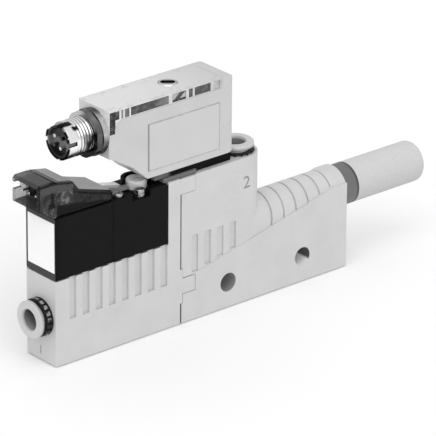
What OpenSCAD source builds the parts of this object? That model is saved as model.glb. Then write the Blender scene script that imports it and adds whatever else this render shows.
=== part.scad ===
// Vacuum ejector in T form: a flat plastic body with a pilot valve lying on its supply end,
// a jet and receiver nozzle in the ribbed barrel, a porous silencer on its end and a vacuum
// switch with a round plug on its tower. X runs from the supply end to the silencer, Y across
// the flat body, Z up. The origin is the middle of the underside.

/* [Body] */
// Width of the body, the valve and the switch
width = 10; // [9.9:0.05:11]
// Length of the body, valve block and ejector body together
body_l = 80.95; // [80.6:0.05:84]
// Length of the valve block, from the supply end to the seam
block_l = 33.6; // [33.3:0.05:34.2]
// Height of the seat that the valve lies on
seat_z = 19.4; // [19:0.1:20.4]
// Height of the post beside the valve and of the tower
tower_h = 33.6; // [33.2:0.1:34.6]
// Thickness of the post between the valve and the seam
post_t = 3.3; // [3:0.05:3.6]
// Radius of the upright corners at the supply end
edge_r = 0.3; // [0.1:0.1:1.2]
// Width of the shadow groove along the seam
seam_w = 0.35; // [0.2:0.05:0.5]
// How far the tower and the barrel stand back from the flank
step_back = 0.12; // [0.05:0.01:0.25]

/* [Flutes and snap tongues] */
// Distance from flute to flute
flute_pitch = 3.52; // [3.4:0.01:3.56]
// Width of a flute
flute_w = 1.7; // [1:0.1:2.2]
// Depth of a flute
flute_d = 0.5; // [0.2:0.05:0.6]
// Height at which the flutes of the valve block end
flute_foot = 10; // [8:0.1:12]
// Length of a snap tongue
tongue_l = 4.1; // [3:0.1:4.2]
// Height of a snap tongue
tongue_h = 3.5; // [2.5:0.1:3.6]
// Thickness of a snap tongue
tongue_t = 0.9; // [0.7:0.05:1]
// Gap around a snap tongue
tongue_gap = 0.12; // [0.08:0.01:0.2]
// Height of the lower tongue's underside
tongue_low = 6.9; // [6:0.1:7.5]

/* [Ejector] */
// Height of the nozzle axis
axis_z = 17.2; // [17:0.05:17.6]
// Radius of the barrel over its ribs
barrel_r = 4.8; // [4.6:0.05:4.85]
// Depth of the grooves between the ribs
rib_d = 0.35; // [0.15:0.05:0.45]
// Width of the grooves between the ribs
rib_gap = 0.5; // [0.3:0.05:0.8]
// Distance from groove to groove
rib_pitch = 3.5; // [3.3:0.05:3.55]
// Length of the end block that holds the silencer
nose_l = 3.5; // [2.8:0.1:3.6]
// Radius of the end block's arch
nose_r = 5.15; // [5.05:0.05:5.5]
// Slope of the flank plate's upper edge
ridge_a = 12.8; // [12:0.1:13.2]
// Height of the flank plate's upper edge at the seam
ridge_z = 9.8; // [9.4:0.1:10.2]
// Distance of the vacuum port from the seam
port2_dx = 19.2; // [18.9:0.05:19.4]
// Radius of the nozzle bore
nozzle_bore_r = 2.6; // [2.5:0.05:2.8]
// Radius of the jet nozzle's throat
jet_r = 0.5; // [0.3:0.05:0.7]
// Radius of the receiver nozzle's throat
receiver_r = 0.85; // [0.7:0.05:1.1]

/* [Mounting holes] */
// Radius of the mounting holes
hole_r = 2.15; // [1.6:0.05:2.3]
// Distance between the mounting holes
hole_pitch = 21.2; // [20:0.1:22]
// Distance of the first mounting hole from the seam
hole_dx = 13.4; // [13:0.1:14]
// Height of the mounting holes
hole_z = 5.85; // [5:0.05:6.2]

/* [Silencer] */
// Radius of the silencer
silencer_r = 4.67; // [4.4:0.01:4.9]
// Length of the porous silencer
silencer_l = 20; // [15:0.5:30]
// Length of the silencer's collar
collar_l = 3.9; // [3:0.1:5]
// Radius of the silencer's rounded end edge
silencer_edge = 1.3; // [0.6:0.1:1.6]

/* [Push-in ports] */
// Radius of the bore that a tube slides into
tube_r = 2.05; // [1.9:0.01:2.1]
// Radius of the release ring's rim
ring_r = 4.15; // [4:0.05:4.3]
// Thickness of the release ring's rim
ring_t = 0.9; // [0.7:0.05:1]
// Radius of the release ring's neck
neck_r = 3; // [2.9:0.02:3.05]
// How far the release ring can be pushed in
ring_travel = 0.8; // [0.4:0.05:0.85]
// Radius of the retaining cartridge's toothed rim
cartridge_r = 4.2; // [4.05:0.05:4.3]
// Height of the retaining cartridge's toothed rim
cartridge_t = 1.5; // [1:0.1:1.6]
// Height of the supply port's axis
port1_z = 10.05; // [9.6:0.05:10.4]
// How deep the vacuum port's cartridge is sunk into the tower
port2_sink = 1.1; // [0.8:0.1:1.3]

/* [Pilot valve] */
// Length of the coil housing
coil_l = 15.25; // [15:0.05:15.6]
// Height of the coil housing and the valve body
valve_h = 13.8; // [13.4:0.1:14.4]
// Thickness of the gasket under the valve
gasket_t = 0.3; // [0.2:0.05:0.4]
// Wall of the coil housing
coil_wall = 1.1; // [0.9:0.05:1.2]
// Height of the armature's axis above the valve's underside
armature_dz = 6.9; // [6.7:0.05:7.1]
// Radius of the armature
armature_r = 2; // [1.8:0.05:2.05]
// Travel of the armature
armature_travel = 0.5; // [0.3:0.05:0.6]
// Radius of the manual override button
override_r = 2.3; // [1.9:0.05:2.35]
// Travel of the manual override button
override_travel = 0.6; // [0.4:0.05:0.7]
// Radius of the valve screws' shanks
screw_r = 0.75; // [0.6:0.05:0.8]
// Radius of the valve screws' heads
screw_head_r = 1.15; // [1:0.05:1.2]

/* [Valve plug] */
// Width of the clear hood
hood_w = 8.8; // [8.4:0.1:9.4]
// Wall of the clear hood
hood_wall = 0.6; // [0.5:0.05:0.7]
// How far the hood's socket overhangs the supply end
hood_over = 3.75; // [3.6:0.05:5]
// Height of the hood above the coil housing
hood_h = 8.1; // [8:0.1:9]
// Width of the socket for the cable plug
socket_w = 7.2; // [6.8:0.1:7.4]
// Height of the socket for the cable plug
socket_h = 4.4; // [4:0.1:4.5]

/* [Vacuum switch] */
// How far before the seam the switch housing begins
switch_x = 19.3; // [18.7:0.1:19.4]
// Length of the switch housing
switch_l = 34.5; // [34.2:0.1:34.6]
// Height of the switch housing and its cap
switch_h = 17.7; // [17:0.1:19]
// Height of the clear cap's skirt
cap_skirt = 2.5; // [2.2:0.1:2.8]
// Wall of the switch housing
switch_wall = 1.2; // [1:0.05:1.4]
// Radius of the switch housing's corners over the tower
switch_r = 2.2; // [1:0.1:2.5]
// Height of the foot between the tower and the switch
foot_h = 0.9; // [0.8:0.1:1.2]
// Height of the gasket on the foot
foot_seal_h = 1.5; // [1.2:0.1:1.7]
// Radius of the setpoint screw
dial_r = 2.1; // [1.8:0.05:2.2]
// Distance of the setpoint screw from the plug end
dial_dx = 19.8; // [19:0.1:20.5]

/* [Round plug] */
// Height of the plug's axis above the switch housing's underside
plug_dz = 12; // [11.8:0.1:12.3]
// Radius of the plug's thread
thread_r = 4; // [3.9:0.05:4.1]
// Length of the plug's thread in front of the nut
thread_l = 6.8; // [5.5:0.1:8]
// Radius of the plug's nut
nut_r = 5.1; // [4.9:0.05:5.2]
// Radius of the flange behind the nut
flange_r = 5.1; // [4.6:0.05:5.2]
// Thickness of the plug's nut
nut_t = 1.5; // [1.2:0.1:1.8]
// Thickness of the flange behind the nut
flange_t = 1.5; // [1.2:0.1:1.8]
// Bore of the threaded sleeve
sleeve_bore_r = 3.5; // [3.2:0.05:3.55]

/* [Hidden] */
$fn = 48;
slip = 0.06;                            // radial clearance of a running fit
seat = 0.02;                            // radial clearance of a pressed or glued seat
over = 1;                               // how far a cut runs past the face it opens
half = width / 2;
flank = half - step_back;               // half width of the tower
seam_x = block_l;
post_x = block_l - post_t;
seam_d = 0.5;
clear = 0.1;                            // gap between neighbours that don't touch

// Places in the body
port2_x = seam_x + port2_dx;
hole_x = [seam_x + hole_dx, seam_x + hole_dx + hole_pitch];
flute_n = 8;
flute_last = post_x - 0.3;              // right wall of the last flute of the valve block
flutes_block = [for (i = [0:flute_n - 1]) flute_last - (flute_n - 1 - i) * flute_pitch];
flutes_tower = [for (i = [0:3]) seam_x + 5 + i * flute_pitch];
flute_head = seat_z + 0.2;              // height at which the tower's flutes begin
tongue_high = tower_h - tongue_h - tongue_gap;
root_h = 7.9;                           // height of the lower tongue's broad root
root_l = 0.6;                           // length of that root
nose_x = body_l - nose_l;
rib_n = 6;
rib_x0 = nose_x - 0.6 - (rib_n - 1) * rib_pitch;
flare_l = 1.6;                          // length of the cone between the ribs and the end block
function ridge(x) = ridge_z + tan(ridge_a) * (x - seam_x);

// Air passages
feed_z = axis_z - 1.4;
feed_r = 0.9;
nozzle_x0 = seam_x + 2.6;               // bottom of the nozzle bore
jet_l = 10.6;
jet_nose_l = 2.4;
receiver_x0 = port2_x + 1.9;
silencer_bore_r = 3.1;
spigot_l = 5.2;
silencer_x0 = body_l + collar_l;
stop_d = 9.6;                           // depth of the tube stop below the port's face
pocket_d = 5.9;                         // depth of the cartridge's pocket
cartridge_body_r = 3.85;
seal_r = 3.4;                           // radius of the chamber for grip ring and tube seal
passage_r = 0.8;

// Places in the valve
valve_z = seat_z + gasket_t;
valve_top = valve_z + valve_h;
valve_x = coil_l + clear;
valve_end = post_x - clear;
supply_x = valve_x + 3.65;              // supply passage of the valve
outlet_x = valve_end - 3;               // outlet passage of the valve
armature_z = valve_z + armature_dz;
core_x1 = 7.4;                          // pole face of the fixed core
armature_x0 = core_x1 + armature_travel + clear;
armature_x1 = coil_l - 0.15;            // from here a slim nose reaches into the valve body
nose_rad = 1.4;
poppet_l = 0.5;
valve_seat_x = outlet_x - 6.86;
poppet_x = valve_seat_x - 0.04 - poppet_l;
yoke_x0 = coil_wall + clear;
yoke_x1 = coil_l - 0.9;
yoke_t = 0.8;
yoke_h = 9.6;
yoke_w = 7.4;
terminal_x = yoke_x0 + yoke_t + 0.4;     // terminals stand on the bobbin's flange
bobbin_r = 2.6;
bobbin_flange_r = 3.65;
winding_r = 3.5;
spring_r = 0.95;
spring_wire = 0.16;
spring_pocket_r = 1.25;
spring_pocket_d = 3;
screw_y = -3.4;
screw_x = [valve_x + 2.5, valve_end - 6.5];
screw_grip = 4.8;                       // depth of the screws in the valve block
head_t = [1.7, 2];                      // heights of the screw heads
screw_seat = [valve_top - 0.9, valve_top - 1.8];
dip_x = [valve_x + 0.9, valve_end - 2.65];  // lowered part of the valve's top
dip_d = 1;
override_x = valve_end - 4.65;
override_h = 0.9;                       // how far the button stands out of the valve
override_bore_d = 4.4;
collar_r = 3.3;
collar_wall = 0.65;
collar_h = 1.15;

// Places in the valve plug
hood_x0 = -hood_over;
hood_x1 = coil_l + 0.1;
tongue_x1 = override_x - collar_r - 0.4;  // end of the hood's clear tongue
tongue_y = [-0.9, 2.6];
tongue_tip = [1, 1.4];                  // length and width of the tongue's tip
hood_z = valve_top + clear;
hood_top = valve_top + hood_h;
socket_z = hood_z + 2.9;                // floor of the socket
board_z = hood_z + 0.7;
board_t = 0.8;
board_x0 = 6;
board_x1 = hood_x1 - hood_wall - clear;
pin_tail = 1.2;                         // length of the contact pins' tails on the board
function board_x(f) = board_x0 + pin_tail + f * (board_x1 - board_x0 - pin_tail);

// Places in the vacuum switch
foot_z = max(tower_h, valve_top) + clear;  // the foot passes over the valve's end
switch_z = foot_z + foot_h + foot_seal_h;
switch_x0 = seam_x - switch_x;
switch_x1 = switch_x0 + switch_l;
switch_top = switch_z + switch_h;
cap_z = switch_top - cap_skirt;
chin_z = switch_z + 7.1;                // underside of the housing at the plug end
plug_z = switch_z + plug_dz;
dial_x = switch_x0 + dial_dx;
foot_x0 = seam_x - 4.4;                 // ends of the grey foot plate
foot_x1 = seam_x + 4.6;
foot_in = 0.4;                          // how far the foot plate stands back from the flanks
foot_seal_in = 0.9;
foot_seal_x0 = seam_x - 6.4;            // the black gasket reaches further than the foot
notch_r = collar_r + clear;             // notch in foot and gasket for the override's collar
nipple_x = seam_x + 7.6;
nipple_r = 1.2;
nipple_in = 7;                          // depth of the nipple in the tower
cell_l = 5;
cell_w = 6.4;
cell_h = 3;
switch_board_z = cap_z - 2.2;
switch_in = half - switch_wall;
label_x0 = switch_x0 + 10.4;
label_l = 19.5;
label_z0 = switch_z + 1.6;
label_z1 = cap_z - 3;
lamp_x0 = switch_x0 + 23;               // small lamp block behind the cap's window
lamp_l = 4.4;
digits_x0 = switch_x0 + 5.8;            // display block behind the cap's window
digits_l = 9.8;
digits_h = 2.2;
digits_t = 0.8;
flange_x = switch_x0 - flange_t;
nut_x = flange_x - nut_t;
thread_x0 = nut_x - thread_l;
insert_x0 = thread_x0 + 0.25;
relief_x = nut_x - 0.2;                 // end of the thread, before the nut
neck_d = 0.25;                          // depth of the plain neck behind the thread
pin_ring_r = 1.5;
pin_r = 0.4;
wrap = 1.6;                             // width of the cap's part that wraps down the plug end

// Points of an arc, from angle a0 to a1
function arc(c, r, a0, a1, n = 6) =
    [for (i = [0:n]) c + r * [cos(a0 + (a1 - a0) * i / n), sin(a0 + (a1 - a0) * i / n)]];

// Outline seen from above, with one corner radius at each end
function plan(x0, x1, h, r0, r1) = concat(
    arc([x0 + r0, -h + r0], r0, 180, 270), arc([x1 - r1, -h + r1], r1, 270, 360),
    arc([x1 - r1, h - r1], r1, 0, 90), arc([x0 + r0, h - r0], r0, 90, 180));

// Puts the origin in the middle of the underside
module place() translate([-body_l / 2, 0, 0]) children();

// Extrudes a side view across the width
module across(w) rotate([90, 0, 0]) linear_extrude(w, center = true) children();

// Box between two corners
module box(a, b) translate(a) cube(b - a);

// Round bar along X
module rod(x0, x1, r, z, y = 0) translate([x0, y, z]) rotate([0, 90, 0]) cylinder(h = x1 - x0, r = r);

// Same thing on both flanks
module both_flanks() {
    children();
    mirror([0, 1, 0]) children();
}

// Shapes of a push-in port, with the face of the housing at z = 0
module port_pocket(passage_d, pass_r) {
    translate([0, 0, -pocket_d]) cylinder(h = pocket_d + over, r = cartridge_body_r + seat);
    translate([0, 0, -stop_d]) cylinder(h = stop_d, r = tube_r);
    translate([0, 0, -passage_d]) cylinder(h = passage_d, r = pass_r);
}

module cartridge() color("#26262a") difference() {
    rotate_extrude() polygon([
        [neck_r + slip, cartridge_t], [cartridge_r - 0.2, cartridge_t], [cartridge_r, cartridge_t - 0.2],
        [cartridge_r, 0], [cartridge_body_r, 0], [cartridge_body_r, -pocket_d + clear],
        [seal_r, -pocket_d + clear], [seal_r, -3], [neck_r + slip, -3]]);
    for (i = [0:17]) rotate([0, 0, i * 20 + 10])
        translate([cartridge_r - 0.35, -0.25, 0.3]) cube([over, 0.5, cartridge_t]);
}

module release_ring() color("gainsboro") rotate_extrude() polygon([
    [tube_r, -2.1], [neck_r, -2.1],
    [neck_r, cartridge_t + ring_travel + clear], [ring_r, cartridge_t + ring_travel + clear],
    [ring_r, cartridge_t + ring_travel + clear + ring_t - 0.25],
    [ring_r - 0.25, cartridge_t + ring_travel + clear + ring_t],
    [tube_r + 0.45, cartridge_t + ring_travel + clear + ring_t],
    [tube_r + 0.3, cartridge_t + ring_travel + clear + ring_t - 0.25],
    [tube_r, cartridge_t + ring_travel + clear + ring_t - 1.6]]);

module grip_ring() color("silver") difference() {
    rotate_extrude() polygon([
        [tube_r + 0.08, -3.75], [seal_r - seat, -3.3], [seal_r - seat, -3.1],
        [seal_r - 0.3, -3.1], [tube_r + 0.08, -3.55]]);
    for (i = [0:7]) rotate([0, 0, i * 45])
        translate([0, -0.15, -4]) cube([seal_r - 0.5, 0.3, 1]);
}

module tube_seal() color("#303030") rotate_extrude() polygon([
    [tube_r + 0.02, -4.6], [tube_r + 0.3, -4.2], [seal_r - 0.3, -4.2], [seal_r - seat, -4.5],
    [seal_r - seat, -5.2], [seal_r - 0.3, -5.5], [tube_r + 0.3, -5.5], [tube_r + 0.02, -5.1]]);

module at_supply() translate([0, 0, port1_z]) rotate([0, -90, 0]) children();
module at_vacuum() translate([port2_x, 0, tower_h - port2_sink]) children();

// Coil spring between two heights, swept along its own axis
module spring(h, r, wire, turns, sides = 6, steps = 12) {
    n = turns * steps;
    ring = [for (j = [0:sides - 1]) [r + wire * cos(j * 360 / sides), wire * sin(j * 360 / sides)]];
    pts = [for (i = [0:n]) for (p = ring)
        [p[0] * cos(i * 360 / steps), p[0] * sin(i * 360 / steps), wire + p[1] + (h - 2 * wire) * i / n]];
    walls = [for (i = [0:n - 1]) for (j = [0:sides - 1]) let (k = (j + 1) % sides)
        [i * sides + j, (i + 1) * sides + j, (i + 1) * sides + k, i * sides + k]];
    polyhedron(pts, concat([[for (j = [0:sides - 1]) j]], walls,
        [[for (j = [sides - 1:-1:0]) n * sides + j]]));
}

// Recesses that run down a flank, each ending at the height foot(x)
module flutes(xs, head, feet) both_flanks() for (i = [0:len(xs) - 1])
    box([xs[i] - flute_w, -half - over, feet[i]], [xs[i], -half + flute_d, head]);

// Snap tongues of the valve block, enlarged by a gap for their pockets
module tongues(gap) both_flanks() {
    for (z = [tongue_low, tongue_high])
        box([seam_x - 1, -half, z - gap],
            [seam_x + tongue_l + gap, -half + tongue_t + gap, z + tongue_h + gap]);
    root_z = tongue_low + tongue_h / 2 - root_h / 2;
    box([seam_x - 1, -half, root_z - gap],
        [seam_x + root_l + gap, -half + tongue_t + gap, root_z + root_h + gap]);
}

module valve_block() color("gainsboro") difference() {
    union() {
        intersection() {
            across(width) polygon([[0, 0], [seam_x, 0], [seam_x, tower_h], [post_x, tower_h],
                [post_x, seat_z], [0, seat_z]]);
            linear_extrude(tower_h) polygon(plan(0, seam_x, half, edge_r, 0.05));
        }
        tongues(0);
    }
    flutes(flutes_block, seat_z + over, [for (x = flutes_block) flute_foot]);
    at_supply() port_pocket(supply_x, 1.2);
    translate([supply_x, 0, port1_z]) cylinder(h = tower_h, r = passage_r);
    translate([outlet_x, 0, feed_z]) cylinder(h = tower_h, r = passage_r);
    rod(outlet_x, seam_x + over, feed_r, feed_z);
    for (i = [0:1]) translate([screw_x[i], screw_y, seat_z - screw_grip - 0.2])
        cylinder(h = screw_grip + 0.2 + over, r = screw_r + seat);
}

// Outline of the barrel's cross-section: round above, straight flanks below
module barrel_slice(x0, x1, r) {
    rod(x0, x1, r, axis_z);
    box([x0, -r, ridge_z - 1], [x1, r, axis_z]);
}

module ejector_body() color("gainsboro") difference() {
    union() {
        // flank plate with its sloping upper edge
        across(width) polygon([[seam_x, 0], [body_l, 0], [body_l, ridge(nose_x)],
            [nose_x, ridge(nose_x)], [seam_x, ridge_z]]);
        // tower with its round end
        box([seam_x, -flank, 0], [port2_x, flank, tower_h]);
        translate([port2_x, 0, 0]) cylinder(h = tower_h, r = flank);
        // ribbed barrel, its flare and the end block
        barrel_slice(port2_x, nose_x, barrel_r - rib_d);
        barrel_slice(port2_x, rib_x0 - rib_gap / 2, barrel_r);
        for (i = [0:rib_n - 2])
            barrel_slice(rib_x0 + i * rib_pitch + rib_gap / 2,
                rib_x0 + (i + 1) * rib_pitch - rib_gap / 2, barrel_r);
        intersection() {
            union() {
                translate([nose_x - flare_l + 1, 0, axis_z]) rotate([0, 90, 0])
                    cylinder(h = flare_l, r1 = barrel_r, r2 = nose_r);
                rod(nose_x + 1, body_l, nose_r, axis_z);
            }
            box([nose_x - flare_l, -half, axis_z - nose_r], [body_l, half, axis_z + nose_r + over]);
        }
        box([nose_x, -half, 0], [body_l, half, axis_z]);
    }
    // shadow groove along the seam, left out at the tongues' roots
    both_flanks() {
        root_z = tongue_low + tongue_h / 2 - root_h / 2;
        box([seam_x - over, -half - over, -over], [seam_x + seam_w, -half + seam_d, root_z - tongue_gap]);
        box([seam_x - over, -half - over, root_z + root_h + tongue_gap],
            [seam_x + seam_w, -half + seam_d, tongue_high - tongue_gap]);
    }
    tongues(tongue_gap);
    flutes(flutes_tower, flute_head, [for (x = flutes_tower) ridge(x) + 0.1]);
    for (x = hole_x) translate([x, 0, hole_z]) rotate([90, 0, 0])
        cylinder(h = width + 2, r = hole_r, center = true);
    at_vacuum() {
        port_pocket(tower_h - port2_sink - axis_z, 1.6);
        cylinder(h = over + port2_sink, r = cartridge_r + clear);
    }
    rod(seam_x - over, nozzle_x0 + 0.2, feed_r, feed_z);
    translate([seam_x - over, 0, feed_z]) rotate([0, 90, 0]) cylinder(h = 0.8 + over, r = 2.3);
    rod(nozzle_x0, body_l - spigot_l, nozzle_bore_r, axis_z);
    rod(body_l - spigot_l - 0.4, body_l + over, silencer_bore_r, axis_z);
    translate([nipple_x, 0, axis_z]) cylinder(h = tower_h, r = nipple_r + seat);
    translate([nipple_x, 0, tower_h - 1]) cylinder(h = 1 + over, r = 2.2);
}

module seam_seal() color("#202020") translate([seam_x + 0.4, 0, feed_z]) rotate([0, 90, 0])
    rotate_extrude() translate([1.65, 0]) circle(r = 0.38, $fn = 16);

module jet_nozzle() color("goldenrod") translate([nozzle_x0, 0, axis_z]) rotate([0, 90, 0])
    rotate_extrude() polygon([
        [1.6, 0], [nozzle_bore_r - seat, 0], [nozzle_bore_r - seat, 3], [nozzle_bore_r - 0.6, 3],
        [nozzle_bore_r - 0.6, 4.4], [nozzle_bore_r - seat, 4.4], [nozzle_bore_r - seat, jet_l - jet_nose_l],
        [1.5, jet_l - jet_nose_l], [1.1, jet_l], [jet_r + 0.25, jet_l], [jet_r, jet_l - 1.6],
        [jet_r + 0.2, 7], [1.6, 3.4]]);

module receiver_nozzle() color("goldenrod") {
    l = body_l - spigot_l - receiver_x0 - 0.5;
    translate([receiver_x0, 0, axis_z]) rotate([0, 90, 0]) rotate_extrude() polygon([
        [receiver_r + 0.9, 0], [nozzle_bore_r - seat, 0], [nozzle_bore_r - seat, 2.4],
        [nozzle_bore_r - 0.6, 2.4], [nozzle_bore_r - 0.6, 3.8], [nozzle_bore_r - seat, 3.8],
        [nozzle_bore_r - seat, l], [receiver_r + 1, l], [receiver_r, l * 0.45], [receiver_r, 3]]);
}

module nozzle_seals() color("#202020") for (x = [nozzle_x0 + 3.7, receiver_x0 + 3.1])
    translate([x, 0, axis_z]) rotate([0, 90, 0]) rotate_extrude()
        translate([nozzle_bore_r - 0.31, 0]) circle(r = 0.28, $fn = 16);

module silencer_collar() color("#707074") translate([body_l, 0, axis_z]) rotate([0, 90, 0])
    rotate_extrude() polygon([
        [2.2, -spigot_l + 0.2], [silencer_bore_r - 0.3, -spigot_l + 0.2],
        [silencer_bore_r - seat, -spigot_l + 0.5], [silencer_bore_r - seat, 0.06],
        [silencer_r - 0.25, 0.06], [silencer_r, 0.3], [silencer_r, collar_l], [3.6, collar_l],
        [3.6, collar_l - 1.6], [2.2, collar_l - 1.6]]);

module silencer_tube() color("whitesmoke") translate([silencer_x0, 0, axis_z]) rotate([0, 90, 0])
    rotate_extrude() polygon(concat(
        [[2.4, -1.5], [3.6 - seat, -1.5], [3.6 - seat, 0.03], [silencer_r, 0.03]],
        arc([silencer_r - silencer_edge, silencer_l - silencer_edge], silencer_edge, 0, 90, 8),
        [[0, silencer_l], [0, silencer_l - 2.4], [2.4, silencer_l - 2.4]]));

// Pilot valve

module valve_gasket() color("#202020") difference() {
    box([valve_x + 0.6, -half + 0.7, seat_z], [valve_end - 0.5, half - 0.7, valve_z]);
    for (x = [supply_x, outlet_x]) translate([x, 0, seat_z - over]) cylinder(h = 3, r = passage_r + 0.1);
    for (x = screw_x) translate([x, screw_y, seat_z - over]) cylinder(h = 3, r = screw_r + 0.1);
}

module valve_body() color("#222224") difference() {
    across(width) polygon([[valve_x, valve_z], [valve_end, valve_z], [valve_end, valve_top - 0.5],
        [valve_end - 0.5, valve_top], [valve_x, valve_top]]);
    rod(valve_x - over, valve_seat_x, nose_rad + 0.35, armature_z);
    rod(valve_seat_x - over, outlet_x, passage_r, armature_z);
    translate([supply_x, 0, valve_z - over]) cylinder(h = armature_dz + over, r = passage_r);
    translate([outlet_x, 0, valve_z - over]) cylinder(h = armature_dz + over + passage_r, r = passage_r);
    for (i = [0:1]) {
        translate([screw_x[i], screw_y, valve_z - over]) cylinder(h = valve_h + 2, r = screw_r + 0.1);
        translate([screw_x[i], screw_y, screw_seat[i]]) cylinder(h = valve_h, r = screw_head_r + 0.2);
    }
    // lowered top behind the front lip, and an open notch for the second screw
    box([dip_x[0], screw_y, valve_top - dip_d], [dip_x[1], half + over, valve_top + over]);
    box([screw_x[1] - 3.2, -half - over, screw_seat[1] + 0.3],
        [screw_x[1] + 1.7, screw_y, valve_top + over]);
    // bore of the manual override
    translate([override_x, 0, valve_top - override_bore_d])
        cylinder(h = override_bore_d + over, r = override_r + slip);
}

module coil_housing() color("#222224") difference() {
    intersection() {
        box([0, -half, valve_z], [coil_l, half, valve_top]);
        translate([0, 0, valve_z]) linear_extrude(valve_h) polygon(plan(0, coil_l, half, edge_r, 0.05));
    }
    box([coil_wall, -half + coil_wall, valve_z + coil_wall],
        [coil_l + over, half - coil_wall, valve_top - coil_wall]);
    for (y = [-2, 2]) translate([terminal_x, y, valve_top - 2]) cylinder(h = 3, r = 0.4);
}

module valve_label() color("white")
    box([-0.1, -half + 0.35, valve_z + 1.6], [0, half - 0.85, valve_top - 1]);

module coil_bobbin() color("#d8d8c8") difference() {
    union() {
        rod(yoke_x0 + yoke_t + 0.05, yoke_x1 - yoke_t - 0.05, bobbin_r, armature_z);
        rod(yoke_x0 + yoke_t + 0.05, yoke_x0 + yoke_t + 0.7, bobbin_flange_r, armature_z);
        rod(yoke_x1 - yoke_t - 0.7, yoke_x1 - yoke_t - 0.05, bobbin_flange_r, armature_z);
    }
    rod(0, coil_l, armature_r + slip, armature_z);
}

module coil_winding() color("#b87333") difference() {
    rod(yoke_x0 + yoke_t + 0.7, yoke_x1 - yoke_t - 0.7, winding_r, armature_z);
    rod(0, coil_l, bobbin_r, armature_z);
}

module coil_yoke() color("silver") difference() {
    box([yoke_x0, -yoke_w / 2, armature_z - yoke_h / 2], [yoke_x1, yoke_w / 2, armature_z + yoke_h / 2]);
    box([yoke_x0 + yoke_t, -half, armature_z - yoke_h / 2 + yoke_t],
        [yoke_x1 - yoke_t, half, armature_z + yoke_h / 2 - yoke_t]);
    box([yoke_x0 + yoke_t, -2.6, armature_z], [yoke_x0 + yoke_t + 1.2, 2.6, armature_z + yoke_h]);
    rod(yoke_x1 - yoke_t - over, yoke_x1 + over, armature_r + slip, armature_z);
}

module coil_core() color("silver") rod(yoke_x0 + yoke_t, core_x1, armature_r, armature_z);

module armature() color("silver") difference() {
    union() {
        rod(armature_x0, armature_x1, armature_r, armature_z);
        rod(armature_x1 - over, poppet_x, nose_rad, armature_z);
    }
    rod(armature_x0 - over, armature_x0 + spring_pocket_d, spring_pocket_r, armature_z);
}

module poppet_seal() color("#303030") rod(poppet_x, poppet_x + poppet_l, nose_rad - 0.1, armature_z);

module armature_spring() color("silver") translate([core_x1 + 0.02, 0, armature_z]) rotate([0, 90, 0])
    spring(armature_x0 + spring_pocket_d - core_x1 - 0.04, spring_r, spring_wire, 5);

module valve_screws() color("silver") for (i = [0:1]) translate([screw_x[i], screw_y, screw_seat[i]]) {
    difference() {
        union() {
            cylinder(h = head_t[i] - 0.2, r = screw_head_r);
            translate([0, 0, head_t[i] - 0.2])
                cylinder(h = 0.2, r1 = screw_head_r, r2 = screw_head_r - 0.2);
        }
        translate([-screw_head_r, -0.15, head_t[i] - 0.45]) cube([2 * screw_head_r, 0.3, 1]);
        // grooves around the second, longer head
        if (i == 1) for (z = [0.5, 1.1]) translate([0, 0, z]) difference() {
            cylinder(h = 0.22, r = screw_head_r + 1);
            translate([0, 0, -over]) cylinder(h = 3, r = screw_head_r - 0.15);
        }
    }
    translate([0, 0, seat_z - screw_grip - screw_seat[i]])
        cylinder(h = screw_seat[i] - seat_z + screw_grip, r = screw_r);
}

module override_button() color("whitesmoke") {
    foot = valve_top - override_bore_d + override_travel + 0.5;
    difference() {
        union() {
            translate([override_x, 0, foot])
                cylinder(h = valve_top + override_h - 0.3 - foot, r = override_r);
            translate([override_x, 0, valve_top + override_h - 0.3])
                cylinder(h = 0.3, r1 = override_r, r2 = override_r - 0.3);
        }
        translate([override_x, 0, foot - over]) cylinder(h = 1.5 + over, r = 1.35);
        translate([override_x - 1.3, -0.2, valve_top + override_h - 0.4]) cube([2.6, 0.4, 1]);
    }
}

module override_spring() color("silver") {
    z0 = valve_top - override_bore_d + 0.02;
    z1 = valve_top - override_bore_d + override_travel + 2;
    translate([override_x, 0, z0]) spring(z1 - z0 - 0.02, 1, 0.15, 4);
}

module override_collar() color("#18181a") difference() {
    translate([override_x, 0, valve_top - dip_d]) cylinder(h = dip_d + collar_h, r = collar_r);
    translate([override_x, 0, valve_top - 2]) cylinder(h = 5, r = collar_r - collar_wall);
    // open to the front, towards the screws
    box([override_x - collar_r - over, -half, valve_top - 2],
        [override_x + collar_r + over, 0.6, valve_top + 5]);
    box([dip_x[1] - 0.02, -half, valve_top - 2], [dip_x[1] + 5, half, valve_top]);
}

// Valve plug

// Side view of the hood, inset by t
function hood_side(t) = [
    [-t, hood_z], [-t, socket_z - hood_wall + t], [hood_x0 + t, socket_z - hood_wall + t],
    [hood_x0 + t, hood_top - 0.6 - t], [hood_x0 + 0.6 + t, hood_top - t], [0.6, hood_top - t],
    [5 - t / 3, hood_top - 0.9 - t], [6.7 - t / 2, hood_z + 4.9 - t],
    [hood_x1 - t, hood_z + 2.3 - t], [hood_x1 - t, hood_z]];

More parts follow.
